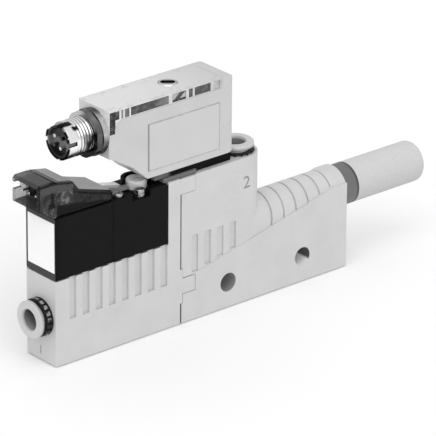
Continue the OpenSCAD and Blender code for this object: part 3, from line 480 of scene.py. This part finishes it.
def sleeve_painted_light(n, turn):
    """Painted dark reflections along the sleeve's outside, a striped rear in painted shade, painted shade
    underneath, and dark spots along the mouth.
    """
    x = n.axes()[0]
    x0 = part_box("thread_sleeve")[0].x
    outside = n.above(n.radius(PLUG_AXIS, 0), SLEEVE_R, 0.05 * MM)
    mouth = n.both(n.below(x, x0 + 0.35 * MM, 0.2 * MM), n.cloud(1.3, 2.0, 0.4, 0.5))
    top = n.both(outside, n.between(turn, 66, 88, 6), n.below(x, x0 + 2.9 * MM, 0.5 * MM))
    spot = n.both(outside, n.between(turn, 42, 58, 6),
                  n.between(x, x0 + 2.1 * MM, x0 + 3.7 * MM, 0.4 * MM))
    rear = n.both(outside, n.between(turn, -110, 24, 12), n.above(x, x0 + 4.2 * MM, 0.8 * MM))
    stripes = n.mix(n.spread(n.noise(1.0, 2.0, (1, 0.3, 0.3)), 0.4, 0.6), grey(40), grey(150))
    foot = n.both(outside, n.between(turn, -125, -34, 8))
    return [(rear, stripes), (foot, grey(14)), (top, grey(18)), (spot, grey(22)), (mouth, grey(16))]


def nut_joint_shadow(n, _turn):
    """Painted shadow in the joint between nut and flange."""
    return [(n.between(n.axes()[0], at(12.6, 0, 0).x, at(12.9, 0, 0).x, 0.2 * MM), grey(62))]


# ---- clear plastics

CREST = (0.6, 41.6), (5, 40.7), (6.7, 38.5), (15.35, 35.9)      # x and z of the hood's top in mm
SLOPE_L = 15 * MM
SLOPE_TONES = [(0, 148), (0.3, 140), (0.36, 120), (0.6, 142), (1, 146)]         # painted light along the hood's slopes
HOOD_ALPHA = 0.74
WINDOWS_L = 30 * MM
WINDOW_TONES = [(0.0, 44), (0.092, 58), (0.098, 205), (0.132, 205), (0.138, 139), (0.184, 139), (0.190, 74),
                (0.42, 88), (0.53, 156), (0.55, 229), (0.705, 229), (0.712, 127), (0.756, 122), (0.762, 92),
                (0.925, 96), (0.935, 236)]  # painted light and shade of what stands behind the cap's windows, along them
DISPLAY = 0.55, 0.705                       # share of their length where the pale display stands
FROST_TONES = [(0, 223), (0.3, 220), (0.6, 214), (1, 196)]      # along the cap


def smoked_hood():
    """Smoked clear plastic: dark walls with painted light and shade of what shows through, painted light on
    the slopes, a nearly clear latch wall and tongue.

    Spans are in mm from the supply end and from the underside, each with the softness of its edges.
    """
    n = Nodes("smoked_hood")
    x, y, z = n.axes()

    def x_span(low, high, soft):
        return n.between(x, END_X + low * MM, END_X + high * MM, soft * MM)

    def z_span(low, high, soft):
        return n.between(z, low * MM, high * MM, soft * MM)

    up = n.above(n.facing()[2], 0.35, 0.1)
    front = n.both(n.invert(up), n.below(y, 0, 0.1 * MM))
    # distance below the hood's top
    first, fall, last = (n.line(x, a, b) for a, b in zip(CREST, CREST[1:]))
    crest = n.math("MINIMUM", n.math("MINIMUM", first, TOWER_Z + 8 * MM), n.math("MAXIMUM", fall, last))
    under = n.math("SUBTRACT", crest, z)

    # painted light and shade of what shows through the front wall
    base = n.mix(n.cloud(2.2, 3.0, 0.35, 0.65), grey(26), grey(56))
    near = n.both(n.below(x, END_X + 5 * MM, 0.6 * MM), n.above(z, 35.6 * MM, 0.5 * MM))
    near_tone = n.mix(n.cloud(1.3, 3.0, 0.35, 0.65), grey(38), grey(80))
    blobs = n.both(x_span(1, 5, 0.8), z_span(36, 39.8, 0.8), n.cloud(1.1, 2.0, 0.5, 0.62))
    belt = n.both(n.between(under, 0.6 * MM, 2.2 * MM, 0.4 * MM), n.below(x, END_X + 5.2 * MM, 0.3 * MM))
    upright = n.both(x_span(-0.6, 0.2, 0.15), z_span(36.4, 39.4, 0.3))
    knot = n.both(x_span(-1.3, 0.5, 0.3), z_span(35.9, 37.2, 0.3))
    patch = n.both(x_span(-1, 0.8, 0.3), n.below(z, 35.8 * MM, 0.4 * MM))
    patch_tone = n.mix(n.cloud(1.0, 2.0, 0.4, 0.6), grey(58), grey(118))
    over_foot = n.math("SUBTRACT", z, n.line(x, (0.7, 36.4), (15, 34)))
    wedge = n.both(n.below(over_foot, 0, 0.25 * MM), n.above(x, END_X + 0.9 * MM, 0.3 * MM))
    corner = n.both(x_span(5.2, 5.7, 0.15), n.above(z, 38.7 * MM, 0.2 * MM))
    # painted shade along the front wall's edges
    band = n.spread(x, END_X + 5 * MM, END_X + 6 * MM, 0.55 * MM, 1.05 * MM)
    top_edge = n.both(front, n.below(n.math("SUBTRACT", under, band), 0, 0.15 * MM))
    end_edge = n.both(front, n.below(x, HOOD_LOW.x + 0.3 * MM, 0.1 * MM))
    # painted light on surfaces that face up, with a painted shadow line across and painted shade along the
    # rim in front
    ledge = n.both(up, n.above(x, END_X + 1.7 * MM, 0.15 * MM))
    ledge_tone = n.ramp(n.spread(x, END_X, END_X + SLOPE_L), SLOPE_TONES)
    line = n.both(up, x_span(1.2, 1.9, 0.15))
    half = (HOOD_HIGH.y - HOOD_LOW.y) / 2
    rim_w = n.spread(x, END_X + 4.6 * MM, END_X + 5.6 * MM, 0.8 * MM, 0.35 * MM)
    near_edge = n.above(n.math("ADD", n.math("ABSOLUTE", y), rim_w), half, 0.1 * MM)
    rim = n.both(up, near_edge, n.below(y, 0, 0.1 * MM))
    # latch wall at the back of the open end with painted shade on its edge, and the tongue beyond the coil
    # housing with a painted highlight on its back half and painted shade on its front half
    latch = n.both(n.above(y, half - 0.85 * MM, 0.05 * MM), n.below(x, END_X - 0.3 * MM, 0.1 * MM),
                   n.invert(up))
    latch_edge = n.both(latch, n.below(x, HOOD_LOW.x + 0.25 * MM, 0.08 * MM))
    tongue = n.above(x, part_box("coil_housing")[1].x + 0.12 * MM, 0.1 * MM)
    tongue_tone = n.mix(n.above(y, 0.7 * MM, 0.4 * MM), grey(150), grey(255))

    n.link(n.paint(base, [
        (near, near_tone), (blobs, grey(122)), (belt, grey(84)), (upright, grey(14)), (knot, grey(14)),
        (patch, patch_tone), (wedge, grey(8)), (corner, grey(12)), (top_edge, grey(10)), (end_edge, grey(18)),
        (up, grey(68)), (ledge, ledge_tone), (line, grey(20)), (rim, grey(16)),
        (latch, grey(166)), (latch_edge, grey(34)), (tongue, tongue_tone)]), n.shader.inputs["Base Color"])
    alpha = n.math("SUBTRACT", n.math("MULTIPLY_ADD", up, 0.16, HOOD_ALPHA), n.math("MULTIPLY", latch, 0.3))
    n.link(n.math("ADD", alpha, n.math("MULTIPLY", tongue, 0.3), clamp=True), n.shader.inputs["Alpha"])
    n.shader.inputs["IOR"].default_value = 1.5
    n.shader.inputs["Specular IOR Level"].default_value = 0.16
    n.shader.inputs["Roughness"].default_value = 0.12
    normal, _ = n.soft_edges(0.1)
    n.bump(n.noise(2.5, 2.0), 0.006, normal)
    return n


def clear_cap():
    """Frosted lid; its thinned windows are partly clear, with the light and shade of the dark inside painted
    on them.
    """
    n = Nodes("clear_cap")
    x, y, z = n.axes()
    side = n.math("ABSOLUTE", y)
    x0, x1 = (v.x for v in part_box("switch_cap"))
    # the windows along the flanks, and the first one's way down the wrapped end
    window = n.both(n.between(side, 3.7 * MM, 4.85 * MM, 0.03 * MM),
                    n.below(z, CAP_TOP - 0.3 * MM, 0.03 * MM), n.above(x, x0 + 0.3 * MM, 0.03 * MM))
    wrap = n.both(n.above(side, 3.7 * MM, 0.03 * MM), n.below(z, CAP_TOP - 0.35 * MM, 0.06 * MM),
                  n.between(x, x0 + 0.12 * MM, x0 + 1.68 * MM, 0.06 * MM))
    window = n.either(window, wrap)
    # painted on them: the light and shade of the board and display parts behind, mottled, with a dark
    # slanting streak and dark dashes below it
    along = n.spread(x, x0, x0 + WINDOWS_L)
    behind = n.ramp(along, WINDOW_TONES)
    lean = n.math("SUBTRACT", n.math("SUBTRACT", x, x0 + 18.9 * MM),
                  n.math("MULTIPLY", n.math("SUBTRACT", z, 52.4 * MM), 1.2))
    streak = n.both(n.below(n.math("ABSOLUTE", lean), 0.75 * MM, 0.3 * MM), n.between(along, *DISPLAY, 0.01))
    dashes = n.both(n.between(along, DISPLAY[0], 0.75, 0.01), n.below(z, 51.9 * MM, 0.1 * MM),
                    n.cloud(1.1, 1.0, 0.42, 0.5))
    behind = n.paint(behind, [(n.cloud(1.1, 3.0, 0.42, 0.62, 0.0, 0.42), grey(160)), (streak, grey(64)),
                              (dashes, grey(20))])
    specks = n.both(n.above(side, 3.0 * MM, 0.8 * MM), n.cloud(1.1, 2.0, 0.5, 0.7, 0.0, 0.5))
    frost = n.paint(n.ramp(n.spread(x, x0, x1), FROST_TONES),
                    [(n.math("MULTIPLY", n.noise(7, 1.0), 0.3), grey(208)), (specks, grey(176))])
    n.link(n.mix(window, frost, behind), n.shader.inputs["Base Color"])
    n.link(n.spread(window, 0, 1, 1.0, 0.62), n.shader.inputs["Alpha"])
    n.link(n.spread(window, 0, 1, 0.32, 0.12), n.shader.inputs["Roughness"])
    n.shader.inputs["IOR"].default_value = 1.45
    normal, _ = n.soft_edges(0.12)
    n.bump(n.noise(0.5, 1.0), 0.0015, normal)
    return n


SINTER_GRAIN = 0.22 * MM                    # size of the silencer's grains


def silencer_material():
    """Sintered plastic: round grains with dark pores, and painted light that makes the top paler than the
    underside.
    """
    n = Nodes("sintered_plastic")
    cells = n.add("ShaderNodeTexVoronoi", Scale=1 / SINTER_GRAIN)
    n.link(n.place, cells.inputs["Vector"])
    pores = n.spread(cells.outputs["Distance"], 0.25, 0.75)
    low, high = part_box("silencer_tube")
    # painted light: paler on top and darker underneath
    tone = n.mix(n.spread(n.axes()[2], low.z, high.z), grey(188), grey(214))
    n.link(n.paint(tone, [(n.math("MULTIPLY", n.noise(5, 2.0), 0.4), grey(204)),
                          (n.math("MULTIPLY", pores, 0.35), grey(178))]), n.shader.inputs["Base Color"])
    n.shader.inputs["Roughness"].default_value = 0.85
    n.shader.inputs["Specular IOR Level"].default_value = 0.25
    normal, _ = n.soft_edges(0.1)
    n.bump(n.invert(pores), 0.02, normal)
    return n


# ---- the materials

body = plastic("body_plastic", 202, paint=seam_paint)
switch = plastic("switch_plastic", 198)
white = plastic("button_plastic", 252, rough=0.35, vary=2)
supply_ring = plastic("supply_ring_plastic", 196, rough=0.35,
                      paint=ring_paint("supply_release_ring", 0, 152, 66))
vacuum_ring = plastic("vacuum_ring_plastic", 203, rough=0.35,
                      paint=ring_paint("vacuum_release_ring", 2, 130, 130))
black = plastic("black_plastic", 14, rough=0.6, vary=3, edge=0.15, edge_highlight=8, shine=0.1, paint=valve_paint)
supply_teeth = plastic("supply_collet", 22, rough=0.45, vary=3, edge=0.1, edge_highlight=40, shine=0.3,
                       paint=teeth_paint("supply_cartridge", 0))
vacuum_teeth = plastic("vacuum_collet", 22, rough=0.45, vary=3, edge=0.1, edge_highlight=40, shine=0.3,
                       paint=teeth_paint("vacuum_cartridge", 2))
label = plastic("label_film", 249, rough=0.5, grain=0.06, depth=0.001, vary=2, edge_highlight=2)
outlined = plastic("switch_label_film", 200, rough=0.5, grain=0.06, depth=0.001, vary=2, edge_highlight=2,
                   paint=label_paint)
foot = plastic("foot_plastic", 100, rough=0.5)
gasket = rubber("black_rubber", 9)
foot_rubber = rubber("foot_rubber", 9, paint=gasket_paint)
seal = rubber("seal_rubber", 32)
steel = metal("steel", 172, 0.25)
dial = metal("dial_steel", 196, 0.3, paint=dial_paint)
spring = metal("spring_steel", 180, 0.22)
iron = metal("magnet_steel", 150, 0.4)
sleeve = plated("nickel_plate", SLEEVE_TONES, 0.16, sleeve_painted_light, roots=ROOT_TONES)
nut = plated("nut_plate", NUT_TONES, 0.22, nut_joint_shadow, face=FACE_TONES)
flange = plated("flange_plate", FLANGE_TONES, 0.24, nut_joint_shadow, face=FACE_TONES)
gold = metal("contact_plate", 205, 0.2, tint=(1.01, 0.98, 0.9, 1))
pins = metal("pin_plate", 205, 0.3, paint=pin_paint)
brass = metal("nozzle_brass", 190, 0.3, tint=(1.05, 0.85, 0.45, 1))
copper = metal("winding_copper", 170, 0.4, brushed=(6, 1, 1), tint=(1.1, 0.6, 0.35, 1))
bobbin = plastic("bobbin_plastic", 200, warm=0.05)
board = plastic("board_laminate", 34, rough=0.4, vary=8, patch=1.5)
chips = plastic("component_resin", 150, rough=0.4, vary=50, patch=1.2)
dark = plastic("display_resin", 20, rough=0.5, vary=5, shine=0.25)
insert = plastic("insert_resin", 60, rough=0.5, vary=8, shine=0.3, paint=insert_paint)
lens = plastic("lamp_lens", 200, rough=0.15, warm=0.2)
blue = plastic("trimmer_case", 90, warm=-0.3)
cell = plastic("cell_case", 190)
smoke = smoked_hood()
haze = clear_cap()
sinter = silencer_material()
collar_dark = plastic("collar_plastic", 104, rough=0.5, vary=5, edge=0.12, edge_highlight=20, paint=collar_paint)

FINISH = {
    body: ["valve_block", "ejector_body"],
    switch: ["switch_housing"],
    white: ["override_button"],
    supply_ring: ["supply_release_ring"],
    vacuum_ring: ["vacuum_release_ring"],
    black: ["valve_body", "coil_housing", "override_collar"],
    supply_teeth: ["supply_cartridge"],
    vacuum_teeth: ["vacuum_cartridge"],
    gasket: ["valve_gasket"],
    foot_rubber: ["foot_gasket"],
    seal: ["seam_seal", "supply_tube_seal", "vacuum_tube_seal", "nozzle_seals", "poppet_seal", "nipple_seal"],
    foot: ["switch_foot"],
    label: ["valve_label"],
    outlined: ["switch_label"],
    steel: ["supply_grip_ring", "vacuum_grip_ring", "valve_screws", "coil_terminals"],
    dial: ["setpoint_screw"],
    spring: ["armature_spring", "override_spring"],
    iron: ["coil_yoke", "coil_core", "armature"],
    brass: ["jet_nozzle", "receiver_nozzle", "suction_nipple"],
    copper: ["coil_winding"],
    bobbin: ["coil_bobbin"],
    board: ["plug_board", "switch_board"],
    chips: ["plug_components"],
    dark: ["display_parts", "contact_carrier"],
    insert: ["plug_insert"],
    lens: ["plug_lamp"],
    blue: ["trimmer"],
    cell: ["pressure_cell"],
    gold: ["contact_pins"],
    pins: ["plug_pins"],
    sleeve: ["thread_sleeve"],
    nut: ["plug_nut"],
    flange: ["plug_flange"],
    sinter: ["silencer_tube"],
    collar_dark: ["silencer_collar"],
    smoke: ["plug_hood"],
    haze: ["switch_cap"],
}
for finish, names in FINISH.items():
    for name in names:
        data = NODES[name].data
        data.materials.clear()
        data.materials.append(finish.mat)
unfinished = set(NODES) - {name for names in FINISH.values() for name in names}
assert not unfinished, f"no material for {sorted(unfinished)}"

# ---------------------------------------------------------------- pieces

SMOOTH_BELOW = math.radians(40)             # edges sharper than this stay sharp


def make(name, verts, faces, finish):
    """A smoothly shaded piece of the housing from its points and faces."""
    mesh = bpy.data.meshes.new(name)
    mesh.from_pydata([tuple(v) for v in verts], [], faces)
    mesh.validate()
    bm = bmesh.new()
    bm.from_mesh(mesh)
    bmesh.ops.remove_doubles(bm, verts=bm.verts, dist=1e-7)
    bmesh.ops.recalc_face_normals(bm, faces=bm.faces)
    bm.to_mesh(mesh)
    bm.free()
    mesh.materials.append(finish.mat)
    mesh.shade_smooth()
    mesh.set_sharp_from_angle(angle=SMOOTH_BELOW)
    obj = bpy.data.objects.new(name, mesh)
    scene.collection.objects.link(obj)
    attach(obj, "housing")
    return obj


PITCH, THREAD_DEPTH = 0.75 * MM, 0.17 * MM
THREAD_START = 2.6 * MM                     # from the mouth
MOUTH_BORE, BACK_BORE = 3.5 * MM, 2.9 * MM  # radii
MOUTH_DEPTH = 3.25 * MM
FACETS = 72                                 # round the sleeve
CUTTER_H, CUTTER_R = 3.2 * MM, 4.5 * MM     # height of a notch's cutter, its distance from the plug's axis
NOTCHES = (-26, 5.0, 1.9), (85, 0.9, 2.3), (175, 1.0, 1.8), (265, 1.0, 2.3)     # degrees, mm wide, mm deep


def thread_radius(x, j, x0, start, stop, radius):
    """Outer radius of the sleeve at x and facet j: bevelled mouth, plain front, thread, plain neck."""
    if x <= x0 + 0.01 * MM:
        return radius - 0.25 * MM
    if x <= x0 + 0.15 * MM:
        return radius - 0.08 * MM
    if x < start:
        return radius
    if x > stop:
        return radius - THREAD_DEPTH
    phase = ((x - start) / PITCH - j / FACETS) % 1.0
    fade = min(1.0, (x - start) / PITCH * 1.5 + 0.2, (stop - x) / PITCH * 2 + 0.3)
    return radius - THREAD_DEPTH * fade * (1 - abs(2 * phase - 1))


def cut_notches(obj, x0, centre_z):
    """Cut the notches out of the sleeve's mouth."""
    cutters = []
    for angle, wide, deep in NOTCHES:
        bm = bmesh.new()
        bmesh.ops.create_cube(bm, size=1)
        shape = Matrix.Diagonal((2 * deep * MM, wide * MM, CUTTER_H, 1))
        turn = Matrix.Rotation(math.radians(angle), 4, "X")
        place = Matrix.Translation((x0, 0, centre_z)) @ turn @ Matrix.Translation((0, 0, CUTTER_R))
        bm.transform(place @ shape)
        mesh = bpy.data.meshes.new("cutter")
        bm.to_mesh(mesh)
        bm.free()
        cutter = bpy.data.objects.new("cutter", mesh)
        scene.collection.objects.link(cutter)
        cutters.append(cutter)
        mod = obj.modifiers.new("notch", "BOOLEAN")
        mod.operation = "DIFFERENCE"
        mod.solver = "EXACT"
        mod.object = cutter
    bpy.context.view_layer.update()
    cut = bpy.data.meshes.new_from_object(obj.evaluated_get(bpy.context.evaluated_depsgraph_get()))
    obj.modifiers.clear()
    obj.data = cut
    for cutter in cutters:
        bpy.data.objects.remove(cutter)


def threaded_sleeve():
    """The plug's sleeve with its metric thread, a plain mouth and four notches."""
    low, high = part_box("thread_sleeve")
    radius, centre_z = (high.z - low.z) / 2, (high.z + low.z) / 2
    x0, x1 = low.x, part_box("plug_flange")[1].x - 0.05 * MM
    start, stop = x0 + THREAD_START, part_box("plug_nut")[0].x - 0.15 * MM
    steps = int((stop - start) / PITCH * 8)
    xs = [x0, x0 + 0.12 * MM, x0 + 0.3 * MM, x0 + 1.2 * MM, x0 + 2.2 * MM, start - 0.2 * MM]
    xs += [start + (stop - start) * i / steps for i in range(steps + 1)] + [stop + 0.1 * MM, x1]
    rings = [[(x, thread_radius(x, j, x0, start, stop, radius)) for j in range(FACETS)] for x in xs]
    inside = [(x1, BACK_BORE), (x0 + MOUTH_DEPTH, BACK_BORE), (x0 + MOUTH_DEPTH, MOUTH_BORE),
              (x0 + 0.1 * MM, MOUTH_BORE), (x0, MOUTH_BORE + 0.06 * MM)]
    rings += [[spot] * FACETS for spot in inside]
    verts = []
    for ring in rings:
        for j, (x, r) in enumerate(ring):
            a = 2 * math.pi * j / FACETS
            verts.append((x, r * math.sin(a), centre_z + r * math.cos(a)))
    faces = []
    for i in range(len(rings)):
        k = (i + 1) % len(rings)
        for j in range(FACETS):
            m = (j + 1) % FACETS
            faces.append((i * FACETS + j, i * FACETS + m, k * FACETS + m, k * FACETS + j))
    obj = make("threaded_sleeve", verts, faces, sleeve)
    cut_notches(obj, x0, centre_z)
    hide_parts("thread_sleeve")


threaded_sleeve()

WIRE = 0.15 * MM                            # radius of the springs' wire
WIRE_SIDES, STEPS_A_COIL = 10, 28


def coil_spring(name, node, axis, coils):
    """Compression spring with closed ends, lying along the given axis."""
    low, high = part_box(node)
    centre = (low + high) / 2
    length = high[axis] - low[axis]
    side, other = (axis + 1) % 3, (axis + 2) % 3
    radius = (high[side] - low[side]) / 2 - WIRE
    steps = STEPS_A_COIL * coils
    closed = 1.0 / coils                    # share of the turns that lie closed at each end
    rise = length - 2 * WIRE
    lying = 2.05 * WIRE                     # height of a closed turn
    verts = []
    for i in range(steps + 1):
        t = i / steps
        if t < closed:
            height = lying * t / closed
        elif t > 1 - closed:
            height = rise - lying * (1 - t) / closed
        else:
            height = lying + (rise - 2 * lying) * (t - closed) / (1 - 2 * closed)
        a = 2 * math.pi * coils * t
        for j in range(WIRE_SIDES):
            b = 2 * math.pi * j / WIRE_SIDES
            r = radius + WIRE * math.cos(b)
            point = [0, 0, 0]
            point[side] = centre[side] + r * math.cos(a)
            point[other] = centre[other] + r * math.sin(a)
            point[axis] = low[axis] + WIRE + height + WIRE * math.sin(b)
            verts.append(point)
    faces = []
    for i in range(0, steps * WIRE_SIDES, WIRE_SIDES):
        for j in range(WIRE_SIDES):
            k = (j + 1) % WIRE_SIDES
            faces.append((i + j, i + WIRE_SIDES + j, i + WIRE_SIDES + k, i + k))
    faces += [tuple(range(WIRE_SIDES)), tuple(steps * WIRE_SIDES + j for j in range(WIRE_SIDES))]
    obj = make(name, verts, faces, spring)
    anchor = centre.copy()
    anchor[axis] = low[axis]
    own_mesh(obj)
    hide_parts(node)


coil_spring("override_coil", "override_spring", 2, 6)
coil_spring("armature_coil", "armature_spring", 0, 7)


CAP_HEIGHT = 0.72                           # height of a digit as a share of the font's size
DIGIT_RAISE = 0.03 * MM
digit_grey = plastic("digit_plastic", 142, vary=3)


def digit(name, character, height_mm, corner, right, up):
    """A small raised port number, written to the right from its lower left corner."""
    curve = bpy.data.curves.new(name, "FONT")
    curve.body = character
    curve.size = height_mm / CAP_HEIGHT * MM
    curve.extrude = DIGIT_RAISE
    curve.resolution_u = 3
    temp = bpy.data.objects.new(name + "_text", curve)
    scene.collection.objects.link(temp)
    bpy.context.view_layer.update()
    mesh = bpy.data.meshes.new_from_object(temp.evaluated_get(bpy.context.evaluated_depsgraph_get()))
    bpy.data.objects.remove(temp)
    turn = Matrix((right, up, right.cross(up))).transposed().to_4x4()
    left, foot = (min(v.co[i] for v in mesh.vertices) for i in range(2))
    mesh.transform(Matrix.Translation(corner) @ turn @ Matrix.Translation((-left, -foot, 0)))
    mesh.name = name
    mesh.materials.clear()
    mesh.materials.append(digit_grey.mat)
    obj = bpy.data.objects.new(name, mesh)
    scene.collection.objects.link(obj)
    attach(obj, "housing")


UP = Vector((0, 0, 1))
digit("port_number_1", "1", 2.0, at(0, 0.4, 1.3), Vector((0, -1, 0)), UP)
digit("port_number_2", "2", 2.9, at(51.2, -4.88, 26.5), Vector((1, 0, 0)), UP)

# ---------------------------------------------------------------- stage

REACH = 3.0                                 # half the floor's width in metres
FLOOR_Z = -0.0002                           # just under the part, so that the two don't touch
corners = [(-REACH, -REACH, 0), (REACH, -REACH, 0), (REACH, REACH, 0), (-REACH, REACH, 0)]
floor_mesh = bpy.data.meshes.new("floor")
floor_mesh.from_pydata(corners, [], [(0, 1, 2, 3)])
floor = bpy.data.objects.new("floor", floor_mesh)
floor.location.z = FLOOR_Z
scene.collection.objects.link(floor)
paper = Nodes("floor_paper")
paper.link(paper.mix(paper.noise(40, 2.0), grey(254.6), grey(255)), paper.shader.inputs["Base Color"])
paper.shader.inputs["Roughness"].default_value = 0.9
paper.shader.inputs["Specular IOR Level"].default_value = 0.0
floor_mesh.materials.append(paper.mat)

world = bpy.data.worlds.new("studio")
scene.world = world
world.use_nodes = True
background = world.node_tree.nodes["Background"]
background.inputs["Color"].default_value = (1, 1, 1, 1)
background.inputs["Strength"].default_value = 0.78

sun = bpy.data.lights.new("key", "SUN")
sun.energy = 1.0
sun.angle = math.radians(70)
sun_obj = bpy.data.objects.new("key", sun)
sun_obj.rotation_euler = Vector((-0.35, -0.5, 0.8)).to_track_quat("Z", "Y").to_euler()
scene.collection.objects.link(sun_obj)

# Camera at the photograph's angle
YAW, TILT, ROLL = (math.radians(a) for a in (40.566, 23.809, 0.490))
SPOT = Vector((-0.540275, -0.6402, 0.3907))
SENSOR, LENS = 36, 354.98                   # mm
ahead = Vector((math.sin(YAW) * math.cos(TILT), math.cos(YAW) * math.cos(TILT), -math.sin(TILT)))
level = Vector((math.cos(YAW), -math.sin(YAW), 0))
plumb = level.cross(ahead)
right = math.cos(ROLL) * level + math.sin(ROLL) * plumb
up = -math.sin(ROLL) * level + math.cos(ROLL) * plumb
camera_data = bpy.data.cameras.new("camera")
camera_data.sensor_width = SENSOR
camera_data.lens = LENS
camera_data.clip_start = 0.01
camera_data.clip_end = 20
camera = bpy.data.objects.new("camera", camera_data)
scene.collection.objects.link(camera)
camera.matrix_world = Matrix((
    (right.x, up.x, -ahead.x, SPOT.x),
    (right.y, up.y, -ahead.y, SPOT.y),
    (right.z, up.z, -ahead.z, SPOT.z),
    (0, 0, 0, 1)))
scene.camera = camera
scene.view_settings.view_transform = "Standard"
